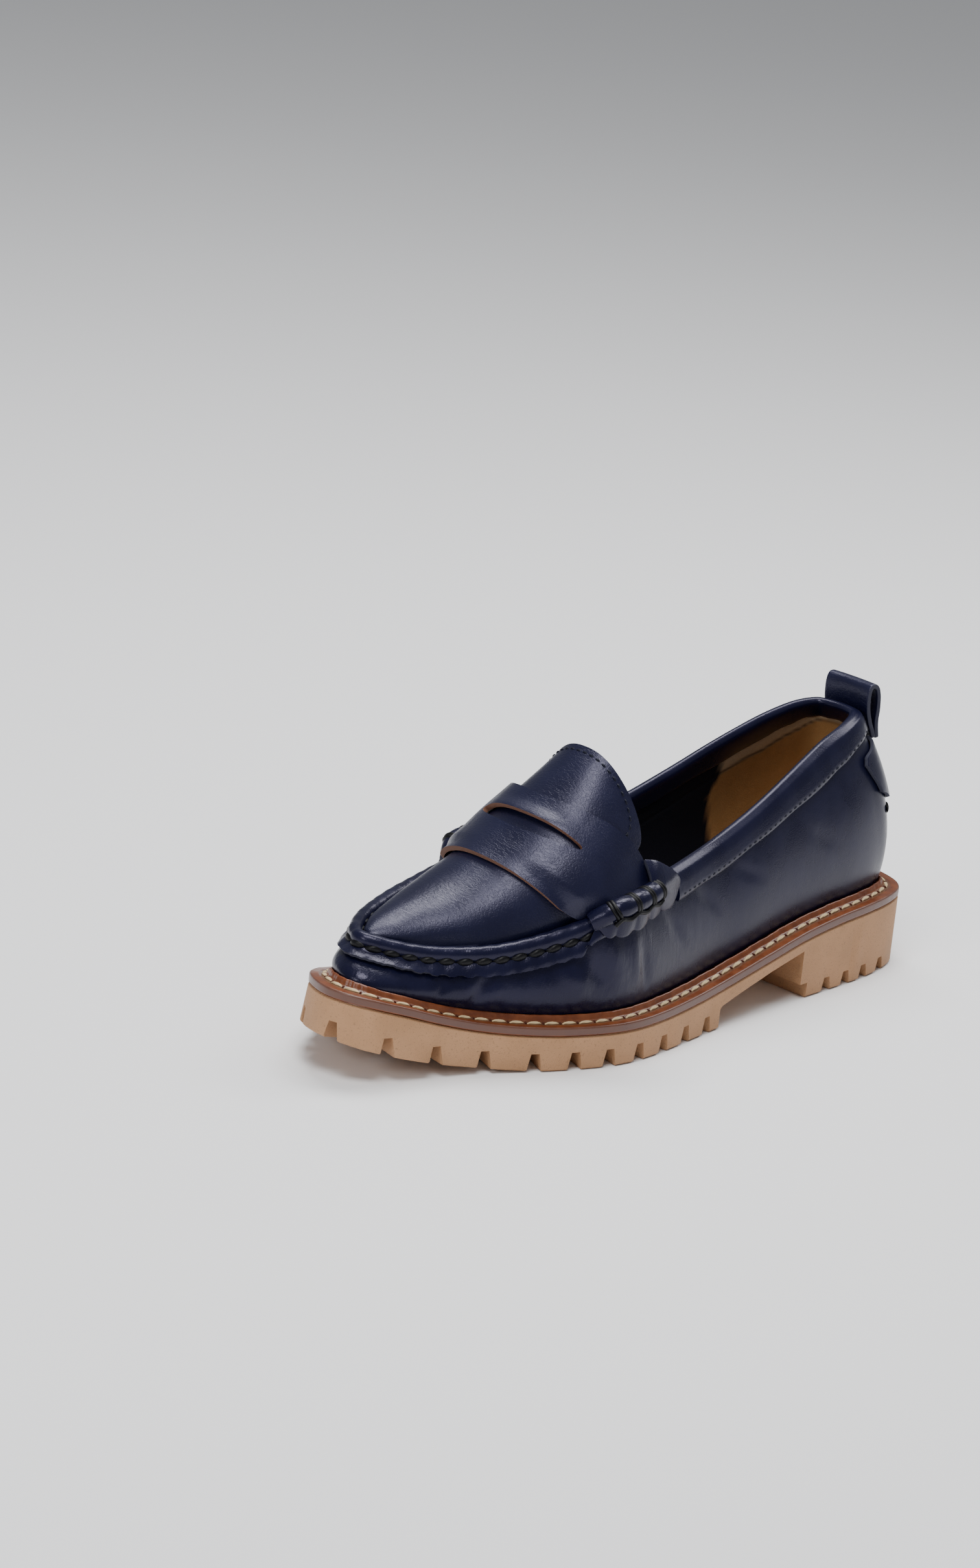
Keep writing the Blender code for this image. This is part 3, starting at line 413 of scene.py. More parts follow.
def run_of(name, model, line, normals, places, turn=0.0, sink=0.0):
    """Copies of one modelled stitch set along a line, joined into one run."""
    points = at_index(line, places)
    ahead = unit(at_index(line, places + 0.5) - at_index(line, places - 0.5))
    lift = unit(at_index(normals, places))
    lift = unit(lift - ahead * (lift * ahead).sum(axis=1)[:, None])
    side = np.cross(lift, ahead)
    copies = []
    for p, a, s, u in zip(points, ahead, side, lift):
        a2 = a * math.cos(turn) + s * math.sin(turn)
        s2 = s * math.cos(turn) - a * math.sin(turn)
        mesh = model.data.copy()
        set_down = Matrix((a2, s2, u)).transposed().to_4x4()
        mesh.transform(Matrix.Translation(Vector(p - u * sink)) @ set_down)
        copy = bpy.data.objects.new(name, mesh)
        bpy.context.collection.objects.link(copy)
        copies.append(copy)
    bpy.ops.object.select_all(action="DESELECT")
    for copy in copies:
        copy.select_set(True)
    bpy.context.view_layer.objects.active = copies[0]
    bpy.ops.object.join()
    copies[0].name = name
    return copies[0]


def stitch_model(length, width, height, segments=8, rings=6):
    """One stitch: a plump bead of thread whose ends dip into the leather."""
    bpy.ops.object.select_all(action="DESELECT")
    bpy.ops.mesh.primitive_uv_sphere_add(segments=segments, ring_count=rings, radius=0.5)
    model = bpy.context.object
    bpy.ops.object.mode_set(mode="EDIT")
    bpy.ops.mesh.select_all(action="SELECT")
    bpy.ops.transform.rotate(value=math.pi / 2, orient_axis="Y", center_override=(0, 0, 0))
    bpy.ops.transform.resize(value=(length, width, height))
    bpy.ops.object.mode_set(mode="OBJECT")
    for vertex in model.data.vertices:
        x, y, z = vertex.co
        share = min(abs(x) * 2 / length, 1)
        vertex.co.y = y * (1 + 0.25 * (1 - share ** 2))
        vertex.co.z = z - height * 0.5 * share ** 3
    return model


welt_profile = (
    # inset from the sole's edge, height above the ledge
    (0.00000, -0.00260), (0.00000, -0.00180), (0.00000, -0.00075), (0.00012, -0.00028),
    (0.00042, -0.00004), (0.00110, 0.00000), (0.00240, -0.00002), (0.00300, -0.00008),
    (0.00345, -0.00030), (0.00400, -0.00036), (0.00460, -0.00034), (0.00500, -0.00010),
    (0.00550, 0.00006), (0.00590, 0.00034), (0.00622, 0.00120), (0.00655, 0.00182),
    (0.00690, 0.00205), (0.00725, 0.00186), (0.00762, 0.00110), (0.00800, 0.00010),
    (0.00830, -0.00020), (0.01060, -0.00020), (0.01060, -0.00310), (0.00600, -0.00310),
    (0.00060, -0.00310), (0.00015, -0.00295))


def welt_place(s, t):
    rows = s * TURN
    edge, out = plan_frame(sole_edge, rows)
    profile = closed_spline(welt_profile, t * len(welt_profile))
    wander = 0.00012 * np.sin(rows * 9.1) + 0.0001 * np.sin(rows * 23.7 + 1)
    return edge - out * (profile[:, 0] + wander * (t > 0.3) * (t < 0.7))[:, None] + UP * profile[:, 1:2]


waxed, end = group("waxed_welt", (("Colour", COLOUR), ("Roughness", VALUE), ("Height", VALUE)))
chart = waxed.nodes.new("ShaderNodeUVMap").outputs["UV"]
parts = waxed.nodes.new("ShaderNodeSeparateXYZ")
waxed.links.new(chart, parts.inputs[0])
where = waxed.nodes.new("ShaderNodeTexCoord").outputs["Object"]
cloudy = noise(waxed, where, 220, 4.0, 0.6)
brown = mixed(waxed, spread(waxed, cloudy, 0.3, 0.7), (0.115, 0.028, 0.008), (0.175, 0.048, 0.013))
edge_tone = mixed(waxed, cloudy, (0.085, 0.032, 0.020), (0.125, 0.053, 0.034))
brown = mixed(waxed, spread(waxed, parts.outputs[1], 0.0022, 0.0034), edge_tone, brown)
channel = sums(waxed, "MULTIPLY", spread(waxed, parts.outputs[1], 0.0052, 0.0060),
               spread(waxed, parts.outputs[1], 0.0085, 0.0076))
brown = mixed(waxed, sums(waxed, "MULTIPLY", channel, 0.6), brown, (0.10, 0.060, 0.038))
waxed.links.new(brown, end.inputs["Colour"])
waxed.links.new(spread(waxed, cloudy, 0.2, 0.8, 0.26, 0.42), end.inputs["Roughness"])
streaks = noise(waxed, where, 900, 3.0)
waxed.links.new(sums(waxed, "ADD", cloudy, sums(waxed, "MULTIPLY", streaks, 0.4)), end.inputs["Height"])
WELT_LEATHER = finish_of("waxed_welt", waxed, 0.35, bump=0.22, depth=0.0003)

welt = lofted("storm_welt", 480, 52, welt_place, True, True)
face_out(welt)
dress(welt, WELT_LEATHER, "welt", 60)

twist, end = group("twisted_thread", (("Height", VALUE),))
chart = twist.nodes.new("ShaderNodeUVMap").outputs["UV"]
ply = twist.nodes.new("ShaderNodeTexWave")
ply.inputs["Scale"].default_value = 1.1
ply.bands_direction = "DIAGONAL"
twist.links.new(chart, ply.inputs["Vector"])
twist.links.new(ply.outputs["Fac"], end.inputs["Height"])


def thread(name, colour, roughness):
    return finish_of(name, twist, roughness, bump=0.6, depth=0.0003, base=colour, specular=0.22)


CREAM_THREAD = thread("cream_thread", (0.56, 0.43, 0.25), 0.7)
# Dark brown beads between the stitches are painted shade in the stitch holes, not thread.
HOLE_SHADE = thread("stitch_hole_painted_shade", (0.07, 0.018, 0.010), 0.8)

fine_rows = np.linspace(0, TURN, 4001)
edge, out = plan_frame(sole_edge, fine_rows)
seam = edge - out * 0.0049 - UP * 0.00008
one_stitch = stitch_model(0.0060, 0.00125, 0.00100)
places = evenly(seam, STITCH_PITCH)
stitches = run_of("welt_stitches", one_stitch, seam, np.tile(UP, (len(seam), 1)), places, turn=0.10)
dress(stitches, CREAM_THREAD, angle=70)
# Painted shade: one dark bead in each stitch hole, halfway between two stitches.
one_hole_shade = stitch_model(0.0009, 0.0013, 0.0006, 6, 4)
hole_shades = run_of("welt_stitch_hole_shades", one_hole_shade, seam, np.tile(UP, (len(seam), 1)),
               (places + np.roll(places, -1))[:-1] / 2, sink=0.00002)
dress(hole_shades, HOLE_SHADE, angle=70)
bpy.data.objects.remove(one_stitch)
bpy.data.objects.remove(one_hole_shade)


# Insole sock: a thin sheet of dark brushed leather on the foam footbed, cut to the inside of the upper and
# glued down.
# Its edges are softly rounded.

brushed, end = group("brushed_nap", (("Height", VALUE),))
where = brushed.nodes.new("ShaderNodeTexCoord").outputs["Object"]
nap = sums(brushed, "ADD", noise(brushed, where, 2400, 3.0, 0.7), noise(brushed, where, 160, 3.0))
brushed.links.new(nap, end.inputs["Height"])


DARK_SOCK = finish_of("dark_sock", brushed, 0.9, bump=0.5, depth=0.0004, base=(0.010, 0.011, 0.022),
                      specular=0.2)
DARK_SOCK.node_tree.nodes["Principled BSDF"].inputs["Sheen Weight"].default_value = 0.25
DARK_SOCK.node_tree.nodes["Principled BSDF"].inputs["Sheen Roughness"].default_value = 0.5

sock = copy_of("insole", "insole_sock")
modify(sock, "BEVEL", width=0.0006, segments=2, limit_method="ANGLE", angle_limit=math.radians(50))
dress(sock, DARK_SOCK, "insole", 50)


# Upper: glossy navy cow leather, softly crinkled, drawn over a last and tucked under the welt's rib.
# The wall runs in one piece round the foot, and creases a little where the foot bends.

COLLAR_HEIGHT = 0.0910
TOP_LENGTH = 0.2345
TOP_HEEL_SETBACK = 0.0145
SWELL_POWER = 0.88
RIDGE_WIDTH = 0.0040
RIDGE_HEIGHT = 0.0070
RIDGE_START = 0.700
RIDGE_FADE = 0.022
SHOULDER = (0.34, -0.96)

# Top line of the wall: the collar at the heel and the plug's seam at the toe. For each side its
# share of the length, then sideways shares of the ball's width, heights and swell as shares of
# the collar's height
TOPLINE = (
    # outer along, outer, outer height, inner along, inner, inner height, swell
    (0.034, 0.000, 1.000, 0.034, 0.000, 1.000, 0.088),
    (0.039, 0.078, 0.999, 0.039, -0.078, 0.999, 0.084),
    (0.051, 0.111, 0.996, 0.051, -0.111, 0.996, 0.074),
    (0.072, 0.136, 0.986, 0.072, -0.136, 0.986, 0.061),
    (0.102, 0.156, 0.966, 0.102, -0.156, 0.966, 0.056),
    (0.154, 0.175, 0.926, 0.153, -0.175, 0.927, 0.052),
    (0.236, 0.209, 0.845, 0.233, -0.206, 0.850, 0.044),
    (0.324, 0.238, 0.756, 0.321, -0.232, 0.763, 0.038),
    (0.418, 0.262, 0.678, 0.418, -0.250, 0.685, 0.034),
    (0.502, 0.293, 0.635, 0.504, -0.270, 0.640, 0.034),
    (0.580, 0.328, 0.610, 0.586, -0.311, 0.618, 0.036),
    (0.639, 0.355, 0.588, 0.646, -0.340, 0.601, 0.038),
    (0.687, 0.352, 0.567, 0.692, -0.346, 0.583, 0.038),
    (0.743, 0.306, 0.522, 0.752, -0.333, 0.559, 0.036),
    (0.801, 0.251, 0.483, 0.806, -0.312, 0.542, 0.034),
    (0.856, 0.192, 0.462, 0.857, -0.286, 0.530, 0.032),
    (0.910, 0.109, 0.456, 0.911, -0.246, 0.518, 0.030),
    (0.948, 0.050, 0.465, 0.950, -0.206, 0.510, 0.030),
    (0.980, -0.008, 0.483, 0.984, -0.150, 0.503, 0.030),
    (0.996, -0.050, 0.495, 0.996, -0.114, 0.499, 0.030),
    (1.000, -0.082, 0.498, 1.000, -0.082, 0.498, 0.030),
)
start = heel_y(0) - TOP_HEEL_SETBACK
TOPLINE_POINTS = around(
    [(CENTRE[0] + BALL_WIDTH * r[1], start - TOP_LENGTH * r[0], COLLAR_HEIGHT * r[2]) for r in TOPLINE],
    [(CENTRE[0] + BALL_WIDTH * r[4], start - TOP_LENGTH * r[3], COLLAR_HEIGHT * r[5]) for r in TOPLINE])
SWELLS = around([(COLLAR_HEIGHT * r[6],) for r in TOPLINE], [(COLLAR_HEIGHT * r[6],) for r in TOPLINE])


def top_line(rows):
    return closed_spline(TOPLINE_POINTS, rows)


def seam_row(share):
    """Row number at a share of the top line's length."""
    return np.interp(share, [row[0] for row in TOPLINE], np.arange(ROWS + 1))


def seam_share(rows):
    rows = np.asarray(rows, float) % TURN
    rows = np.where(rows > ROWS, TURN - rows, rows)
    return np.interp(rows, np.arange(ROWS + 1), [r[0] for r in TOPLINE])


def eased(value, start_at, width):
    """0 up to a start, 1 from a width past it, and a soft step between."""
    t = np.clip((value - start_at) / width, 0, 1)
    return t * t * (3 - 2 * t)


def ridge_share(rows):
    """1 where the plug's seam stands up as a ridge, 0 from the saddle back."""
    return eased(seam_share(rows), RIDGE_START, RIDGE_FADE)[:, None]


def ridge_growth(rows):
    return (1 + 0.35 * np.clip((0.95 - seam_share(rows)) / 0.25, 0, 1))[:, None]


def seam_at(rows, across, up):
    """A point of the plug's seam, measured out from and up from the top line."""
    top, out = plan_frame(top_line, rows)
    return top + ridge_growth(rows) * (out * across * RIDGE_WIDTH + UP * up * RIDGE_HEIGHT)


def wall_at(rows, share):
    """A point on the wall's outer face: share 0 at the welt, 1 at the top line."""
    rows = np.asarray(rows, float)
    share = np.asarray(share, float)[:, None]
    edge, out = plan_frame(sole_edge, rows)
    foot = edge - out * (LEDGE_WIDTH + CLEARANCE) + UP * CLEARANCE
    top = top_line(rows)
    target = top + (seam_at(rows, *SHOULDER) - top) * ridge_share(rows)
    shape = np.sin(math.pi * np.clip(share, 0, 1) ** SWELL_POWER)
    return foot + (target - foot) * share + out * closed_spline(SWELLS, rows) * shape


def wall_normal(rows, share):
    along = wall_at(rows + 0.03, share) - wall_at(rows - 0.03, share)
    rise_way = wall_at(rows, share + 0.01) - wall_at(rows, share - 0.01)
    normal = unit(np.cross(rise_way, along))
    out = plan_frame(sole_edge, rows)[1]
    return normal * np.sign((normal * out).sum(axis=1))[:, None]


CREASE_STRENGTH = 1.25

# Soft creases of the wall: row and share at both ends, width, depth
CREASES = (
    (14.95, 0.84, 15.08, 0.24, 0.0022, -0.0009),
    (14.55, 0.70, 14.75, 0.30, 0.0030, 0.0004),
    (15.90, 0.74, 15.90, 0.32, 0.0018, -0.0006),
    (12.66, 0.93, 11.95, 0.32, 0.0034, -0.0012),
    (12.15, 0.92, 11.45, 0.42, 0.0034, 0.0007),
    (13.15, 0.90, 12.70, 0.45, 0.0030, 0.0005),
    (10.62, 0.56, 10.31, 0.20, 0.0026, -0.0006),
    (10.95, 0.72, 10.72, 0.30, 0.0030, 0.0004),
    (9.60, 0.72, 9.15, 0.42, 0.0024, -0.0004),
    (8.60, 0.78, 8.10, 0.50, 0.0022, -0.0004),
    (7.60, 0.76, 7.00, 0.52, 0.0022, -0.0003),
    (5.60, 0.60, 5.00, 0.40, 0.0030, -0.0003),
    (27.30, 0.92, 28.00, 0.34, 0.0034, -0.0011),
    (26.40, 0.88, 26.90, 0.45, 0.0030, 0.0005),
    (25.00, 0.80, 24.95, 0.30, 0.0024, -0.0007),
    (29.60, 0.60, 29.90, 0.22, 0.0026, -0.0005),
    (31.40, 0.78, 31.90, 0.50, 0.0022, -0.0004),
)


def crease_lift(points):
    """How far the creases push each point of the wall in or out."""
    lift = np.zeros(len(points))
    for row_a, share_a, row_b, share_b, width, depth in CREASES:
        a = wall_at(np.array([row_a]), np.array([share_a]))[0]
        b = wall_at(np.array([row_b]), np.array([share_b]))[0]
        along = np.clip(((points - a) @ (b - a)) / ((b - a) @ (b - a)), 0, 1)
        away = points - (a + along[:, None] * (b - a))
        distance = np.linalg.norm(away, axis=1)
        fade = 0.35 + 0.65 * np.sin(math.pi * along)
        lift += CREASE_STRENGTH * depth * np.exp(-(distance / width) ** 2) * fade
    return lift


SEAM_FROM = 0.86


def wall_place(s, t):
    rows = s * TURN
    seam_part = np.clip((t - SEAM_FROM) / 0.14, 0, 1)
    share = np.minimum(t / SEAM_FROM, 1) * 0.88 + seam_part * 0.12
    collar = wall_at(rows, share)
    normal = wall_normal(rows, np.clip(share, 0.02, 0.97))
    collar = collar + normal * crease_lift(collar)[:, None]
    across_value = np.interp(seam_part, (0, 0.25, 0.6, 1), (SHOULDER[0], 0.44, 0.40, 0.20))
    up_value = np.interp(seam_part, (0, 0.25, 0.6, 1), (SHOULDER[1], -0.90, -0.70, -0.40))
    top, out = plan_frame(top_line, rows)
    growth = ridge_growth(rows)
    ridged = top + growth * (out * (across_value * RIDGE_WIDTH)[:, None]
                             + UP * (up_value * RIDGE_HEIGHT)[:, None])
    share_of_ridge = ridge_share(rows) * (t > SEAM_FROM)[:, None]
    return collar + (ridged - collar) * share_of_ridge


crinkle, end = group("crinkled_leather", (("Colour", COLOUR), ("Roughness", VALUE), ("Height", VALUE)))
where = crinkle.nodes.new("ShaderNodeTexCoord").outputs["Object"]
stretched = crinkle.nodes.new("ShaderNodeMapping")
stretched.inputs["Scale"].default_value = (1.0, 0.8, 1.5)
crinkle.links.new(where, stretched.inputs["Vector"])
grain = crinkle.nodes.new("ShaderNodeTexVoronoi")
grain.feature = "DISTANCE_TO_EDGE"
grain.inputs["Scale"].default_value = 1000
crinkle.links.new(stretched.outputs[0], grain.inputs["Vector"])
pebbles = spread(crinkle, grain.outputs["Distance"], 0.0, 0.16)


def folded(tree, vector, scale, sharpness):
    """Fine valleys where a noise crosses its middle, as in creased leather."""
    value = sums(tree, "ABSOLUTE", sums(tree, "SUBTRACT", noise(tree, vector, scale, 4.0, 0.55), 0.5), 0.0)
    return spread(tree, value, 0.0, sharpness)


upright = crinkle.nodes.new("ShaderNodeMapping")
upright.inputs["Scale"].default_value = (1.3, 1.3, 0.45)
upright.inputs["Rotation"].default_value = (0.35, 0.0, 0.0)
crinkle.links.new(where, upright.inputs["Vector"])
spots = crinkle.nodes.new("ShaderNodeSeparateXYZ")
crinkle.links.new(where, spots.inputs[0])
forward = spread(crinkle, spots.outputs[1], -0.05, 0.04, 1.0, 0.0)
rolling = noise(crinkle, where, 70, 3.0, 0.5)
small = sums(crinkle, "ADD", sums(crinkle, "MULTIPLY", pebbles, 0.009),
             sums(crinkle, "MULTIPLY", noise(crinkle, stretched.outputs[0], 900, 2.0, 0.5), 0.012))
drawn_in = sums(crinkle, "MULTIPLY", folded(crinkle, upright.outputs[0], 110, 0.22), 0.090)
drawn_in = sums(crinkle, "MULTIPLY", drawn_in, forward)
height = sums(crinkle, "ADD", small, drawn_in)
swelling = spread(crinkle, spots.outputs[1], -0.05, 0.04, 0.30, 0.12)
height = sums(crinkle, "ADD", height, sums(crinkle, "MULTIPLY", rolling, swelling))
crinkle.links.new(height, end.inputs["Height"])
navy = mixed(crinkle, spread(crinkle, rolling, 0.3, 0.7), (0.0036, 0.0040, 0.0160), (0.0050, 0.0056, 0.0215))
crinkle.links.new(navy, end.inputs["Colour"])
crinkle.links.new(spread(crinkle, rolling, 0.25, 0.75, 0.24, 0.33), end.inputs["Roughness"])
NAVY_GLOSS = finish_of("navy_gloss_leather", crinkle, 0.3, bump=1.0, depth=0.001, coat=0.06,
                       specular=0.28, tint=(0.78, 0.74, 1.0))

wall = lofted("upper_wall", 520, 64, wall_place, True)
wall.data.flip_normals()
dress(wall, NAVY_GLOSS, "upper", 70)


# Lining: inside the wall, black cloth round the front, tan pigskin round the heel and a paler
# brushed band below the collar, all glued to the back of the leather.

def lining_place(s, t):
    rows = s * TURN
    share = 0.03 + 0.955 * t
    skin = wall_at(rows, share)
    out = plan_frame(sole_edge, rows)[1]
    return skin - out * (WALL + 0.0002)


lining = lofted("lining", 400, 50, lining_place, True)
zone = lining.data.attributes.new("zone", "FLOAT_COLOR", "POINT")
points = np.empty(len(lining.data.vertices) * 3)
lining.data.vertices.foreach_get("co", points)
points = points.reshape(-1, 3)
fine_top = top_line(np.linspace(0, TURN, 1601))
nearest = np.array([np.argmin(((fine_top[:, :2] - p[:2]) ** 2).sum(axis=1)) for p in points])
drop = fine_top[nearest, 2] - points[:, 2]
border = CENTRE[1] + np.interp(drop, (0.0, 0.005, 0.016, 0.023, 0.033, 0.043),
                               (0.0700, 0.0708, 0.0741, 0.0715, 0.0740, 0.0765))
band_edge = np.interp(points[:, 1] - CENTRE[1], (0.070, 0.093, 0.1067, 0.112),
                      (0.0155, 0.0155, 0.0116, 0.0075))
tones = np.zeros((len(points), 4))
tones[:, 0] = np.clip((points[:, 1] - border) / 0.0018 + 0.5, 0, 1)
tones[:, 1] = np.clip((band_edge - drop) / 0.0014 + 0.5, 0, 1)
tones[:, 2] = np.exp(-((drop - band_edge) / 0.0008) ** 2)
tones[:, 3] = 1
zone.data.foreach_set("color", tones.ravel())

lined, end = group("lining_zones", (("Colour", COLOUR), ("Height", VALUE)))
marks = lined.nodes.new("ShaderNodeAttribute")
marks.attribute_name = "zone"
split = lined.nodes.new("ShaderNodeSeparateColor")
lined.links.new(marks.outputs["Color"], split.inputs[0])
where = lined.nodes.new("ShaderNodeTexCoord").outputs["Object"]
mottle = noise(lined, where, 140, 4.0, 0.6)
pores = noise(lined, where, 1900, 2.0, 0.6)
tan = mixed(lined, mottle, (0.470, 0.235, 0.080), (0.580, 0.310, 0.120))
pale = mixed(lined, mottle, (0.640, 0.460, 0.275), (0.760, 0.570, 0.355))
tan = mixed(lined, split.outputs[1], tan, pale)
tan = mixed(lined, sums(lined, "MULTIPLY", split.outputs[2], 0.75), tan, (0.060, 0.030, 0.014))
lined.links.new(mixed(lined, split.outputs[0], (0.0075, 0.0078, 0.0150), tan), end.inputs["Colour"])
lined.links.new(sums(lined, "SUBTRACT", sums(lined, "ADD", pores, mottle),
                     sums(lined, "MULTIPLY", split.outputs[2], 1.5)), end.inputs["Height"])
LINING = finish_of("heel_lining", lined, 0.85, bump=0.5, depth=0.0003, specular=0.25)
dress(lining, LINING, angle=70)


# Plug: the apron of the vamp, a smoother panel of the same navy leather that crowns the instep and
# is drawn into the raised seam round the toe.

INSTEP_RISE = 0.0515
ARCH_FULLNESS = 2.3
SEAM_VALLEY = (-0.72, -0.24)
CROWN_FIRST = 8

# Crown of the instep from the throat to the toe: share of the sole's length, share of the rise
# above the toe's seam, and how square the section's arch is
CROWN = (
    # along, rise, power of the arch
    (0.556, 1.180, 0.40),
    (0.603, 0.968, 0.42),
    (0.648, 0.760, 0.46),
    (0.685, 0.597, 0.54),
    (0.716, 0.469, 0.62),
    (0.756, 0.326, 0.64),
    (0.795, 0.220, 0.65),
    (0.834, 0.138, 0.72),
    (0.874, 0.066, 0.82),
    (0.901, 0.025, 0.90),
    (0.917, -0.010, 0.97),
    (0.921, -0.025, 1.00),
    (0.922, -0.030, 1.00),
)


def crown_line(rows):
    toe_seam = COLLAR_HEIGHT * TOPLINE[-1][2]
    table = np.array([(heel_y(row[0]), toe_seam + INSTEP_RISE * row[1], row[2]) for row in CROWN])
    mirrored = np.concatenate([table, table[-2:0:-1]])
    return closed_spline(mirrored, np.clip(rows - CROWN_FIRST, 0, len(table) - 1))


def plug_edge(rows):
    """Where the plug meets the seam's inner side, or the wall's brim behind the ridge."""
    top, out = plan_frame(top_line, rows)
    brim = top - out * WALL
    return brim + (seam_at(rows, *SEAM_VALLEY) - brim) * ridge_share(rows)


def instep_at(rows, across):
    """A point on the instep: row number on the outer side, across from -1 (inner) to 1 (outer)."""
    rows = np.asarray(rows, float)
    across = np.asarray(across, float)[:, None]
    outer = plug_edge(rows)
    inner = plug_edge(TURN - rows)
    crown = crown_line(rows)
    middle = (outer + inner) / 2
    lift = np.stack([np.zeros(len(rows)), crown[:, 0] - middle[:, 1], crown[:, 1] - middle[:, 2]], axis=1)
    arch = np.clip(1 - np.abs(across) ** ARCH_FULLNESS, 0, 1) ** crown[:, 2:3]
    return middle + (outer - inner) / 2 * across + lift * arch


def instep_normal(rows, across, step=0.02, limit=0.985):
    """Outward direction of the instep, smoothed over a wider step where asked."""
    across = np.clip(across, -limit, limit)
    along = instep_at(rows + step, across) - instep_at(rows - step, across)
    side = instep_at(rows, across + 0.01) - instep_at(rows, across - 0.01)
    normal = np.cross(along, side)
    return unit(normal * np.sign(normal[:, 2:3]))


PLUG_REAR = 0.618


def plug_place(s, t):
    share = PLUG_REAR + (0.9995 - PLUG_REAR) * (1 - (1 - s) ** 1.35)
    rows = seam_row(share)
    across = np.cos(math.pi * (1 - t))
    skin = instep_at(rows, across)
    sag = np.exp(-((np.abs(across) - 0.9) / 0.12) ** 2) * 0.0003
    return skin - instep_normal(rows, across) * sag[:, None]


satin, end = group("satin_leather", (("Colour", COLOUR), ("Roughness", VALUE), ("Height", VALUE)))
where = satin.nodes.new("ShaderNodeTexCoord").outputs["Object"]
drawn = satin.nodes.new("ShaderNodeMapping")
drawn.inputs["Scale"].default_value = (0.45, 1.6, 1.2)
satin.links.new(where, drawn.inputs["Vector"])
fine_folds = folded(satin, drawn.outputs[0], 560, 0.09)
pores = satin.nodes.new("ShaderNodeTexVoronoi")
pores.inputs["Scale"].default_value = 1400
satin.links.new(where, pores.inputs["Vector"])
rolling = noise(satin, where, 55, 2.0, 0.5)
height = sums(satin, "ADD", sums(satin, "MULTIPLY", fine_folds, 0.024),
              sums(satin, "MULTIPLY", spread(satin, pores.outputs["Distance"], 0.0, 0.6), 0.014))
height = sums(satin, "ADD", height, sums(satin, "MULTIPLY", rolling, 0.40))
satin.links.new(height, end.inputs["Height"])
satin.links.new(mixed(satin, spread(satin, rolling, 0.3, 0.7), (0.0042, 0.0047, 0.0190),
                      (0.0054, 0.0062, 0.0245)), end.inputs["Colour"])
satin.links.new(spread(satin, rolling, 0.25, 0.75, 0.30, 0.38), end.inputs["Roughness"])
NAVY_SATIN = finish_of("navy_satin_leather", satin, 0.35, bump=1.0, depth=0.001, coat=0.04,
                       specular=0.42, tint=(0.80, 0.78, 1.0))

plug = lofted("plug", 150, 90, plug_place)
modify(plug, "SOLIDIFY", thickness=0.0014, offset=-1.0)
dress(plug, NAVY_SATIN, angle=70)


# Raised seam: the plug and the wall are drawn together over a cord and sewn by hand, which leaves a
# smooth round ridge from saddle to saddle round the toe. Black waxed cord shows under and inside it.

def tube_frames(line):
    """Directions along, sideways and over at each point of a line."""
    ahead = unit(np.gradient(line, axis=0))
    side = unit(np.cross(ahead, np.tile(UP, (len(line), 1))))
    return ahead, side, np.cross(side, ahead)


def tube_place(line, radius, squash=1.0):
    """Place function of a round tube along a fine line, closed to a point at both ends."""
    ahead, side, over_way = tube_frames(line)
    index = np.arange(len(line))

    def place(s, t):
        where_now = s * (len(line) - 1)
        parts = [np.stack([np.interp(where_now, index, part[:, k]) for k in range(3)], axis=1)
                 for part in (line, side, over_way)]
        size = np.interp(where_now, index, radius)
        angle = 2 * math.pi * t
        return parts[0] + size[:, None] * (np.cos(angle)[:, None] * parts[1]
                                           + squash * np.sin(angle)[:, None] * parts[2])
    return place


CORD_PITCH = 0.0064


def ridge_rows(count, first=0.697):
    row = float(seam_row(first))
    return np.linspace(row, TURN - row, count)


rows = ridge_rows(900)
ridge_line = seam_at(rows, -0.04, -0.37)
reach = reach_along(ridge_line)
closing = np.clip(np.minimum(reach, reach[-1] - reach) / 0.002, 0, 1)
size = 0.00245 * ridge_growth(rows)[:, 0] ** 0.8 * np.sqrt(1 - (1 - closing) ** 2)
size *= 1 + 0.02 * np.sin(reach / CORD_PITCH * 2 * math.pi)
ridge = lofted("seam_ridge", 520, 22, tube_place(ridge_line, size + 0.00002, 1.04), False, True)
face_out(ridge)
dress(ridge, NAVY_GLOSS, angle=80)

BLACK_CORD = thread("black_waxed_cord", (0.0016, 0.0016, 0.0026), 0.45)
rows = ridge_rows(1800, 0.704)
groove = seam_at(rows, 0.52, -0.585)
outwards = plan_frame(top_line, rows)[1]
cord_stitch = stitch_model(CORD_PITCH, 0.0021, 0.0019, 10, 8)
cords = run_of("groove_cords", cord_stitch, groove, outwards * 0.9 + UP * 0.25,
               evenly(groove, CORD_PITCH), turn=0.12)
dress(cords, BLACK_CORD, angle=80)
valley = seam_at(rows, -0.62, -0.30)
inner_stitch = stitch_model(0.0058, 0.0015, 0.0012, 8, 6)
inner_cords = run_of("valley_cords", inner_stitch, valley, UP * 0.8 - outwards * 0.5,
                     evenly(valley, CORD_PITCH), turn=-0.25)
dress(inner_cords, BLACK_CORD, angle=80)


# Lip: the raw edge of the wall's leather, left standing below the seam. It is puckered by the
# cords, and its cut edge is a little ragged and paler than the face.

LIP_START = float(seam_row(0.694))


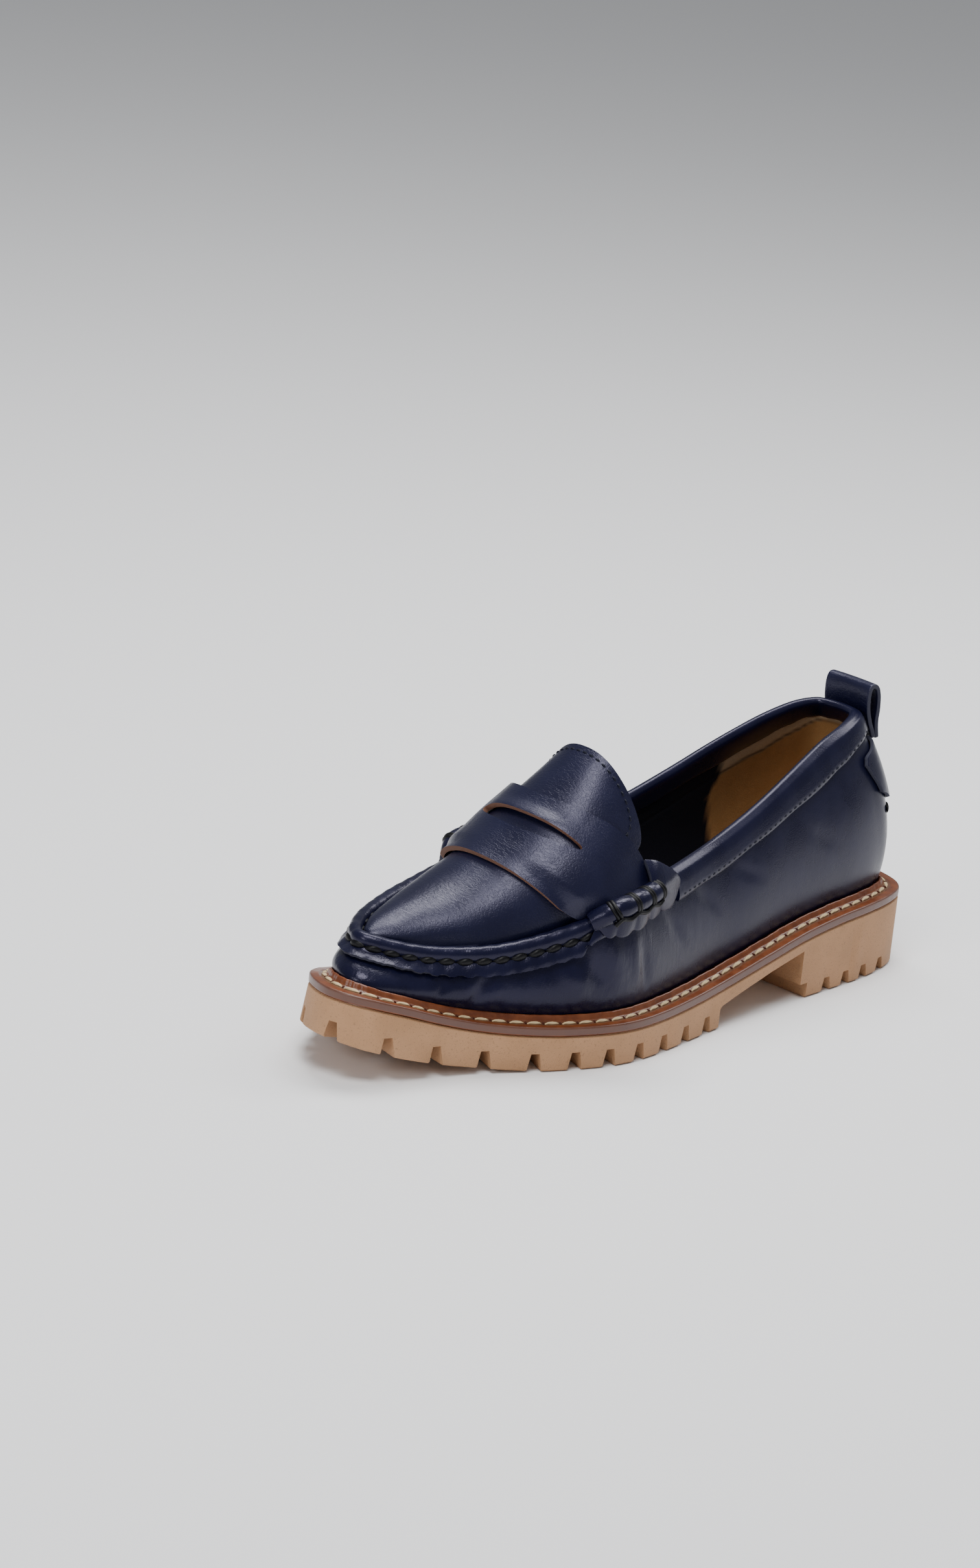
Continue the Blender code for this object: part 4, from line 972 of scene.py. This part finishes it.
def lip_place(s, t):
    rows = LIP_START + (TURN - 2 * LIP_START) * s
    foot = wall_at(rows, np.zeros(len(rows)))
    shoulder = wall_at(rows, np.ones(len(rows)))
    height = np.linalg.norm(shoulder - foot, axis=1)
    reach_now = np.interp(rows, rows_reach[0], rows_reach[1])
    ragged = 0.00016 * np.sin(reach_now * 1100) + 0.00006 * np.sin(reach_now * 3100 + 1.0)
    ragged += 0.00016 * np.cos(reach_now / CORD_PITCH * 2 * math.pi)
    low = 1 - (0.0026 + ragged) / height
    normal = wall_normal(rows, np.clip(low, 0, 0.98))
    pucker = 0.00030 * np.cos(reach_now / CORD_PITCH * 2 * math.pi)
    bottom = wall_at(rows, low) + normal * 0.0020
    top = seam_at(rows, 0.50, -0.66)
    middle = seam_at(rows, 0.92, -0.86) + outward_at(rows) * pucker[:, None]
    t = t[:, None]
    return top * (1 - t) ** 2 + 2 * middle * t * (1 - t) + bottom * t ** 2


def outward_at(rows):
    return plan_frame(top_line, rows)[1]


long_rows = np.linspace(0, TURN, 3001)
rows_reach = (long_rows, reach_along(top_line(long_rows)))
CUT_EDGE = finish_of("cut_leather_edge", brushed, 0.8, bump=0.4, depth=0.0003,
                     base=(0.020, 0.021, 0.040))
lip = lofted("seam_lip", 700, 8, lip_place)


def leather_sheet(piece, thickness, face, rim, node=None, inward=True, rounding=0.00035):
    """Gives a sheet its thickness, a cut edge in its own finish, and softly broken corners."""
    piece.data.materials.clear()
    piece.data.materials.append(face)
    piece.data.materials.append(rim)
    modify(piece, "SOLIDIFY", thickness=thickness, offset=-1.0 if inward else 1.0, material_offset_rim=1)
    if rounding:
        modify(piece, "BEVEL", width=rounding, segments=2, limit_method="ANGLE",
               angle_limit=math.radians(55), harden_normals=False, material=-1)
    settle(piece, node, 50)


def facing(piece, way):
    """Turns an open sheet over if its faces look away from a direction at its middle."""
    total = sum((face.normal * face.area for face in piece.data.polygons), Vector())
    if total.dot(Vector(way)) < 0:
        piece.data.flip_normals()


def outward_sheet(piece, centre=(0.0, 0.0, 0.03)):
    """Turns an open sheet's faces away from the inside of the shoe."""
    total = sum(face.normal.dot(face.center - Vector(centre)) * face.area for face in piece.data.polygons)
    if total < 0:
        piece.data.flip_normals()


outward_sheet(lip)
leather_sheet(lip, 0.0009, NAVY_GLOSS, CUT_EDGE, rounding=0.0)


# Tongue: the plug's leather carried on under the saddle, rounded at its end, lined, and sewn round
# its edge in navy thread. It stands up from the instep by itself.

TONGUE_SHOULDER = 0.560
TONGUE_END = 0.486
TONGUE_REACH = 0.95


def tongue_place(s, t):
    straight = 0.28
    turn_part = np.clip((s - straight) / (1 - straight), 0, 1) * math.pi / 2 * 0.992
    share = PLUG_REAR - (PLUG_REAR - TONGUE_SHOULDER) * np.minimum(s / straight, 1)
    share = share - (TONGUE_SHOULDER - TONGUE_END) * np.sin(turn_part)
    reach_now = TONGUE_REACH * (1 - np.sin(turn_part) ** 2.6) ** (1 / 2.6)
    across = np.cos(math.pi * (1 - t)) * reach_now
    rows = seam_row(share)
    return instep_at(rows, across) - instep_normal(rows, across) * 0.0003


LINED_EDGE = finish_of("tongue_edge", brushed, 0.6, bump=0.3, depth=0.0002, base=(0.030, 0.026, 0.040))
tongue = lofted("tongue_leather", 110, 70, tongue_place)
facing(tongue, (0, -0.3, 1))
leather_sheet(tongue, 0.0021, NAVY_SATIN, LINED_EDGE, "tongue", rounding=0.0005)

NAVY_THREAD = thread("navy_thread", (0.0035, 0.0045, 0.0150), 0.6)
angle = np.linspace(0.0, math.pi, 700)
edge_share = TONGUE_SHOULDER - (TONGUE_SHOULDER - TONGUE_END - 0.0095) * np.abs(np.sin(angle)) ** (2 / 2.6)
edge_across = 0.875 * np.sign(np.cos(angle)) * np.abs(np.cos(angle)) ** (2 / 2.6)
lead = np.linspace(PLUG_REAR, TONGUE_SHOULDER, 60)[:-1]
edge_share = np.concatenate([lead, edge_share, lead[::-1]])
edge_across = np.concatenate([np.full(59, 0.875), edge_across, np.full(59, -0.875)])
tongue_rows = seam_row(edge_share)
hem = instep_at(tongue_rows, edge_across)
hem_up = instep_normal(tongue_rows, edge_across)
small_stitch = stitch_model(0.0022, 0.0007, 0.0006, 6, 5)
hem_run = run_of("tongue_stitches", small_stitch, hem, hem_up, evenly(hem, 0.0029), sink=0.0002)
dress(hem_run, NAVY_THREAD, angle=80)


# Saddle strap: one band of navy leather laid across the instep, with a lens-shaped slot. Its edges
# are cut raw, so the tan core of the hide shows along them.

STRAP_THICKNESS = 0.0019
STRAP_FRONT = 0.728
STRAP_BOW = 0.005
STRAP_REAR = 0.597
STRAP_FLARE = 0.033
STRAP_REACH = 0.984
SLOT_CENTRE = 0.653
SLOT_HALF_GAP = 0.014
SLOT_HALF_SPAN = 0.66


def strap_place(s, t):
    across = STRAP_REACH * np.cos(math.pi * (1 - t))
    rear = STRAP_REAR - STRAP_FLARE * across ** 2
    front = STRAP_FRONT + STRAP_BOW * (1 - across ** 2)
    share = rear + (front - rear) * s
    rows = seam_row(share)
    normal = instep_normal(rows, across, 0.45, 0.90)
    slot_share = SLOT_CENTRE - 0.010 * (across / SLOT_HALF_SPAN) ** 2
    near = np.exp(-((share - slot_share - 0.010) / 0.020) ** 2) * np.exp(-(across / 0.5) ** 4)
    behind = np.exp(-((share - slot_share + 0.014) / 0.016) ** 2) * np.exp(-(across / 0.55) ** 4)
    lift = STRAP_THICKNESS + 0.0005 + 0.0002 * near + 0.0012 * behind
    lift = lift + 0.0007 * np.clip((np.abs(across) - 0.6) / 0.3, 0, 1)
    skin = instep_at(rows, across) + normal * lift[:, None]
    side_rows = seam_row(np.clip(share, 0.590, 0.724))
    side_rows = np.where(across > 0, side_rows, TURN - side_rows)
    top, out = plan_frame(top_line, side_rows)
    tuck = eased(np.abs(across), 0.90, 0.084)[:, None]
    to_ridge = np.clip((share - 0.676) / 0.036, 0, 1)[:, None]
    rim_of_roll = top + out * (0.0024 - 0.0036 * to_ridge) + UP * (0.0022 - 0.0024 * to_ridge)
    return skin + (rim_of_roll - skin) * tuck


RAW_EDGE = finish_of("raw_cut_edge", brushed, 0.8, bump=0.4, depth=0.0002, base=(0.170, 0.080, 0.050))
strap = lofted("saddle_strap_leather", 64, 120, strap_place)
facing(strap, (0, -0.3, 1))
strap.data.materials.append(NAVY_SATIN)
strap.data.materials.append(RAW_EDGE)
modify(strap, "SOLIDIFY", thickness=STRAP_THICKNESS, offset=-1.0, material_offset_rim=1)

LENS_SIDES = 96
lens_angle = np.linspace(0, 2 * math.pi, LENS_SIDES + 1)[:-1]
lens_across = SLOT_HALF_SPAN * np.cos(lens_angle) + 0.02
lens_share = SLOT_CENTRE + SLOT_HALF_GAP * np.sin(lens_angle) - 0.010 * (lens_across / SLOT_HALF_SPAN) ** 2
lens_rows = seam_row(lens_share)
lens = instep_at(lens_rows, lens_across)
lens_up = instep_normal(lens_rows, lens_across)


def close_ends(piece):
    """Fills the open ends of a tube-like skin."""
    bpy.ops.object.mode_set(mode="EDIT")
    bpy.ops.mesh.select_all(action="DESELECT")
    bpy.ops.mesh.select_mode(type="EDGE")
    bpy.ops.mesh.select_non_manifold()
    bpy.ops.mesh.fill()
    bpy.ops.object.mode_set(mode="OBJECT")
    face_out(piece)


def lens_place(s, t):
    which = np.rint(s * LENS_SIDES).astype(int) % LENS_SIDES
    return lens[which] + lens_up[which] * (-0.0012 + 0.0080 * t)[:, None]


cutter = lofted("slot_cutter", LENS_SIDES, 2, lens_place, True)
close_ends(cutter)
cutter.data.materials.append(RAW_EDGE)
modify(strap, "BOOLEAN", operation="DIFFERENCE", solver="EXACT", object=cutter, material_mode="TRANSFER")
bpy.data.objects.remove(cutter)
settle(strap, "saddle_strap", 40)


# Rolls: the strap's ends rolled over the collar's front corners and bound by turns of black waxed
# cord, which pinch each into four swells. Further cords run along the roll's outer side.

ROLL_RADIUS = 0.0038
ROLL_REAR = 0.598
ROLL_FRONT = 0.714
ROLL_STEPS = 241
ROLL_TURNS = 4
ROLL_SHARES = np.linspace(ROLL_REAR, ROLL_FRONT, ROLL_STEPS)


def on_side(rows, side):
    """Rows of the outer side, or the same ones mirrored to the inner side."""
    return rows if side > 0 else TURN - rows


def roll_line(side):
    share = ROLL_SHARES
    rows = on_side(seam_row(share), side)
    top, out = plan_frame(top_line, rows)
    line = top + out * ROLL_RADIUS * 1.28 + UP * ROLL_RADIUS * 0.45
    bend = eased(share, 0.680, 0.034)[:, None]
    return line + (seam_at(rows, -0.04, -0.30) - line) * bend * 0.85


def cord_along(name, points, radius=0.00070):
    """A round cord through points, as a mesh."""
    curve = bpy.data.curves.new(name, "CURVE")
    curve.dimensions = "3D"
    curve.bevel_depth = radius
    curve.bevel_resolution = 2
    line = curve.splines.new("POLY")
    line.points.add(len(points) - 1)
    for spot, point in zip(line.points, points):
        spot.co = (*point, 1)
    curve.use_fill_caps = True
    cord = bpy.data.objects.new(name, curve)
    bpy.context.collection.objects.link(cord)
    choose(cord)
    bpy.ops.object.convert(target="MESH")
    cord = bpy.context.object
    dress(cord, BLACK_CORD, angle=80)
    return cord


for side, name in ((1, "outer"), (-1, "inner")):
    line = roll_line(side)
    phase = np.linspace(0, ROLL_TURNS, len(line))
    swell = np.abs(np.sin(math.pi * phase)) ** 0.42
    radius = ROLL_RADIUS * (0.80 + 0.20 * swell)
    ends = np.clip(np.minimum(phase, ROLL_TURNS - phase) / 0.16, 0, 1)
    radius = radius * np.sqrt(np.clip(1 - (1 - ends) ** 2, 0.0005, 1))
    barrel = lofted("saddle_roll_" + name, 200, 30, tube_place(line, radius), False, True)
    face_out(barrel)
    dress(barrel, NAVY_GLOSS, "roll_" + name, 80)
    ahead, sideways_now, over_way = tube_frames(line)
    out = plan_frame(top_line, on_side(seam_row(ROLL_SHARES), side))[1]
    for turn, mark in enumerate((0.12, 1.0, 2.0, 3.0)):
        for pair, shift in enumerate((-0.0006, 0.0006)):
            k = int(round(mark / ROLL_TURNS * (ROLL_STEPS - 1)))
            angle = np.linspace(0, 2 * math.pi, 41)
            size = (radius[k] if turn else ROLL_RADIUS * 0.80) + 0.0003
            ring = [line[k] + ahead[k] * (shift + 0.0005 * math.sin(a)) + size * (
                math.cos(a) * sideways_now[k] + math.sin(a) * over_way[k]) for a in angle]
            cord_along(f"roll_wrap_{name}_{turn}_{pair}", ring)
    low = line + out * ROLL_RADIUS * 0.80 - over_way * ROLL_RADIUS * 0.74
    low = low + over_way * (0.0005 * np.cos(2 * math.pi * phase))[:, None]
    cord_along("roll_rung_" + name, low[10:200:3], 0.0008)


# Tabs: what is left of the strap's ends below the rolls, a glossy flange with a scalloped raw edge
# that lies on the wall and round the rear end of the roll.

# Edge of the flange from its top rear corner round to its front: row, share of the wall, and for
# the part over the collar the distance out and up from the top line
TAB_EDGE = (
    (10.35, 1.0, -0.0034, 0.0096),
    (10.10, 1.0, -0.0012, 0.0084),
    (9.80, 1.0, 0.0002, 0.0052),
    (9.55, 1.0, 0.0013, 0.0017),
    (9.41, 0.965, 0.0008, 0.0),
    (9.46, 0.896, 0.0, 0.0),
    (9.56, 0.852, 0.0, 0.0),
    (9.72, 0.806, 0.0, 0.0),
    (9.94, 0.812, 0.0, 0.0),
    (10.09, 0.834, 0.0, 0.0),
    (10.23, 0.808, 0.0, 0.0),
    (10.42, 0.798, 0.0, 0.0),
    (10.60, 0.822, 0.0, 0.0),
    (10.78, 0.786, 0.0, 0.0),
    (11.00, 0.770, 0.0, 0.0),
    (11.25, 0.792, 0.0, 0.0),
    (11.50, 0.764, 0.0, 0.0),
    (11.72, 0.768, 0.0, 0.0),
    (11.88, 0.800, 0.0, 0.0),
    (12.06, 0.790, 0.0, 0.0),
    (12.22, 0.862, 0.0, 0.0),
    (12.36, 0.940, 0.0, 0.0),
)


def tab_edge(side):
    table = np.array(TAB_EDGE)
    fine = np.clip(np.linspace(0, len(table) - 1, ROLL_STEPS), 0, len(table) - 1.001)
    padded = np.concatenate([table[:1], table, table[-1:]])
    first = np.floor(fine).astype(int)
    f = (fine - first)[:, None]
    a, b, c, d = (padded[first + k] for k in range(4))
    d = np.where((first + 3 < len(padded))[:, None], d, c)
    row, share, out_by, up_by = between(a, b, c, d, f).T
    rows = on_side(row, side)
    wall_points = wall_at(rows, np.minimum(share, 1))
    normal = wall_normal(rows, np.clip(share, 0.1, 0.97))
    out = plan_frame(top_line, rows)[1]
    edge = wall_points + normal * 0.0022 + out * out_by[:, None] + UP * up_by[:, None]
    return edge, row


for side, name in ((1, "outer"), (-1, "inner")):
    edge, edge_row = tab_edge(side)
    line = roll_line(side)
    steps = np.arange(ROLL_STEPS)
    rooted = np.interp(edge_row + 0.25 * (edge_row < 11), seam_row(ROLL_SHARES), steps)
    rooted = np.maximum.accumulate(np.where(steps < 60, np.clip(rooted, 12, 30), rooted))
    root = at_index(line, rooted)

    def tab_place(s, t):
        which = np.rint(s * (ROLL_STEPS - 1)).astype(int)
        bulge = 0.0007 * np.sin(math.pi * t)
        span = root[which] + (edge[which] - root[which]) * t[:, None]
        out = unit(edge[which] - np.array([0.0, edge[:, 1].mean(), 0.03]))
        return span + out * bulge[:, None]

    tab = lofted("saddle_tab_" + name, ROLL_STEPS - 1, 12, tab_place)
    outward_sheet(tab)
    leather_sheet(tab, 0.0014, NAVY_GLOSS, CUT_EDGE, "tab_" + name, inward=False, rounding=0.0003)


# Collar binding: a padded strip of navy leather folded over the collar from tab to tab round the
# heel, and sewn down through the wall along its lower edge.

BINDING_FRONT = 0.524
BINDING_SWELL = 0.0013
LINING_SHARE = 0.74

# Depth of the strip below the collar, by share of the top line
BINDING_DEPTH = ((0.034, 0.0066), (0.059, 0.0070), (0.081, 0.0082), (0.117, 0.0094), (0.154, 0.0104),
                 (0.21, 0.0104), (0.28, 0.0095), (0.35, 0.0092), (0.53, 0.0090))


def binding_line(rows, across, fall):
    """A point of the binding's section, out from the wall's face and down from its edge."""
    top, out = plan_frame(top_line, rows)
    height = top[:, 2] - sole_edge(rows)[:, 2]
    outer_share = np.clip(1 - np.maximum(fall, 0) / height, 0, 1)
    outer_skin = wall_at(rows, outer_share)
    face = wall_normal(rows, np.minimum(outer_share, 0.97))
    lining_skin = wall_at(rows, np.full(len(rows), LINING_SHARE))
    down = np.maximum(fall, 0) / (height * (1 - LINING_SHARE))
    inner_skin = top + (lining_skin - top) * down[:, None]
    over_edge = top - UP * fall[:, None] + out * across[:, None]
    outside = outer_skin + face * across[:, None]
    inside = inner_skin + out * across[:, None]
    result = np.where((across > 0)[:, None], outside, inside)
    return np.where((fall <= 0)[:, None], over_edge, result)


skin = CLEARANCE
thick = skin + BINDING_SWELL
binding_profile = (
    # out from the wall's face, share of the depth down from its edge
    (0.0001, 1.00), (thick * 0.55, 0.985), (thick * 0.78, 0.93), (thick, 0.82), (thick * 1.10, 0.62),
    (thick * 1.18, 0.40), (thick * 1.12, 0.20), (thick * 0.90, 0.02), (0.0002, -0.14),
    (-0.0010, -0.19), (-0.0021, -0.14), (-0.0030, 0.04), (-0.0032, 0.30), (-0.0031, 0.60),
    (-0.0029, 0.86), (-0.0024, 0.94), (-0.0014, 0.80), (-0.0012, 0.30), (-0.0008, 0.20), (-0.0004, 0.60))
limit = float(seam_row(BINDING_FRONT))


def binding_place(s, t):
    rows = (2 * s - 1) * limit % TURN
    depth = np.interp(seam_share(rows), *zip(*BINDING_DEPTH))
    count = len(binding_profile)
    near = np.minimum(np.round(t * count * 2) / 2, count)
    section = closed_spline(binding_profile, near)
    wander = 0.00018 * np.sin(rows * 5.0)
    fall = section[:, 1] * (depth + wander * (section[:, 1] > 0.5))
    return binding_line(rows, section[:, 0], fall)


binding = lofted("collar_binding_leather", 300, 40, binding_place, False, True)
close_ends(binding)
dress(binding, NAVY_GLOSS, "collar_binding", 70)

rows = np.linspace(-limit + 0.1, limit - 0.1, 2400) % TURN
depth = np.interp(seam_share(rows), *zip(*BINDING_DEPTH)) - 0.0013
top, out = plan_frame(top_line, rows)
height = top[:, 2] - sole_edge(rows)[:, 2]
face = wall_normal(rows, 1 - depth / height)
band_seam = wall_at(rows, 1 - depth / height) + face * (thick * 0.98)
band_run = run_of("binding_stitches", small_stitch, band_seam, face, evenly(band_seam, 0.0030), sink=0.0001)
dress(band_run, NAVY_THREAD, angle=80)
bpy.data.objects.remove(small_stitch)
bpy.data.objects.remove(cord_stitch)
bpy.data.objects.remove(inner_stitch)


# Heel patch: a shield of navy leather over the back seam, with a thick dark cut edge and a bar of
# tight stitches at its side.

PATCH_HALF_WIDTH = 0.0200
PATCH_ROWS = ((0.400, 0.08), (0.435, 0.38), (0.475, 0.68), (0.520, 0.90), (0.580, 1.00),
              (0.680, 0.96), (0.760, 0.92), (0.800, 0.86), (0.832, 0.64))


def patch_place(s, t):
    share = PATCH_ROWS[0][0] + (PATCH_ROWS[-1][0] - PATCH_ROWS[0][0]) * s
    half = PATCH_HALF_WIDTH * np.interp(share, *zip(*PATCH_ROWS))
    probe_rows = np.linspace(0, 4, 81)
    probe = np.array([np.interp(h, wall_at(probe_rows, np.full(81, v))[:, 0] - CENTRE[0], probe_rows)
                      for h, v in zip(half, share)])
    rows = ((2 * t - 1) * probe) % TURN
    return wall_at(rows, share) + wall_normal(rows, share) * 0.0005


patch = lofted("heel_patch_leather", 60, 44, patch_place)
outward_sheet(patch)
leather_sheet(patch, 0.0013, NAVY_GLOSS, CUT_EDGE, "heel_patch", inward=False, rounding=0.0005)

bar_stitch = stitch_model(0.0030, 0.0008, 0.0008, 8, 6)
for side, name in ((1, "outer"), (-1, "inner")):
    share = np.full(80, 0.455)
    rows = on_side(np.linspace(1.55, 2.05, 80), side)
    spot = wall_at(rows, share) + wall_normal(rows, share) * 0.0005
    lift = wall_normal(rows, share)
    tack = run_of("bar_tack_" + name, bar_stitch, spot, lift, evenly(spot, 0.0008), turn=math.pi / 2)
    dress(tack, BLACK_CORD, angle=80)
bpy.data.objects.remove(bar_stitch)


# Pull loop: a strip of the same leather folded double and sewn flat to the heel below the collar,
# so that it stands up behind the rim.

LOOP_RISE = 0.0095
LOOP_WIDTH = 0.0200
LOOP_THICKNESS = 0.0017
LOOP_PATH = (
    # back, up, curve of the sides
    (0.89, -1.12, 0.08), (0.74, -0.80, 0.08), (0.58, -0.50, 0.08), (0.36, 0.00, 0.06),
    (0.27, 0.50, 0.04), (0.30, 0.85, 0.03), (0.45, 1.02, 0.03), (0.68, 1.02, 0.03),
    (0.92, 0.86, 0.04), (1.08, 0.50, 0.05), (1.15, 0.00, 0.06), (1.18, -0.50, 0.08),
    (1.30, -1.12, 0.08))


def loop_place(s, t):
    table = np.array(LOOP_PATH)
    padded = np.concatenate([2 * table[:1] - table[1:2], table, 2 * table[-1:] - table[-2:-1], table[-1:]])
    fine = s * (len(table) - 1)
    first = np.minimum(np.floor(fine).astype(int), len(table) - 2)
    f = (fine - first)[:, None]
    a, b, c, d = (padded[first + k] for k in range(4))
    step = between(a, b, c, d, f)
    x = 2 * t - 1
    rim = top_line(np.array([0.0]))[0]
    return np.stack([CENTRE[0] + x * LOOP_WIDTH / 2,
                     rim[1] + LOOP_RISE * step[:, 0] - LOOP_WIDTH * step[:, 2] * x ** 2,
                     rim[2] + LOOP_RISE * step[:, 1]], axis=1)


loop = lofted("pull_loop_leather", 96, 20, loop_place)
fold = np.array([vertex.co[:] for vertex in loop.data.vertices]).mean(axis=0)
outward_sheet(loop, fold)
leather_sheet(loop, LOOP_THICKNESS, NAVY_SATIN, CUT_EDGE, "pull_loop", rounding=0.0004)
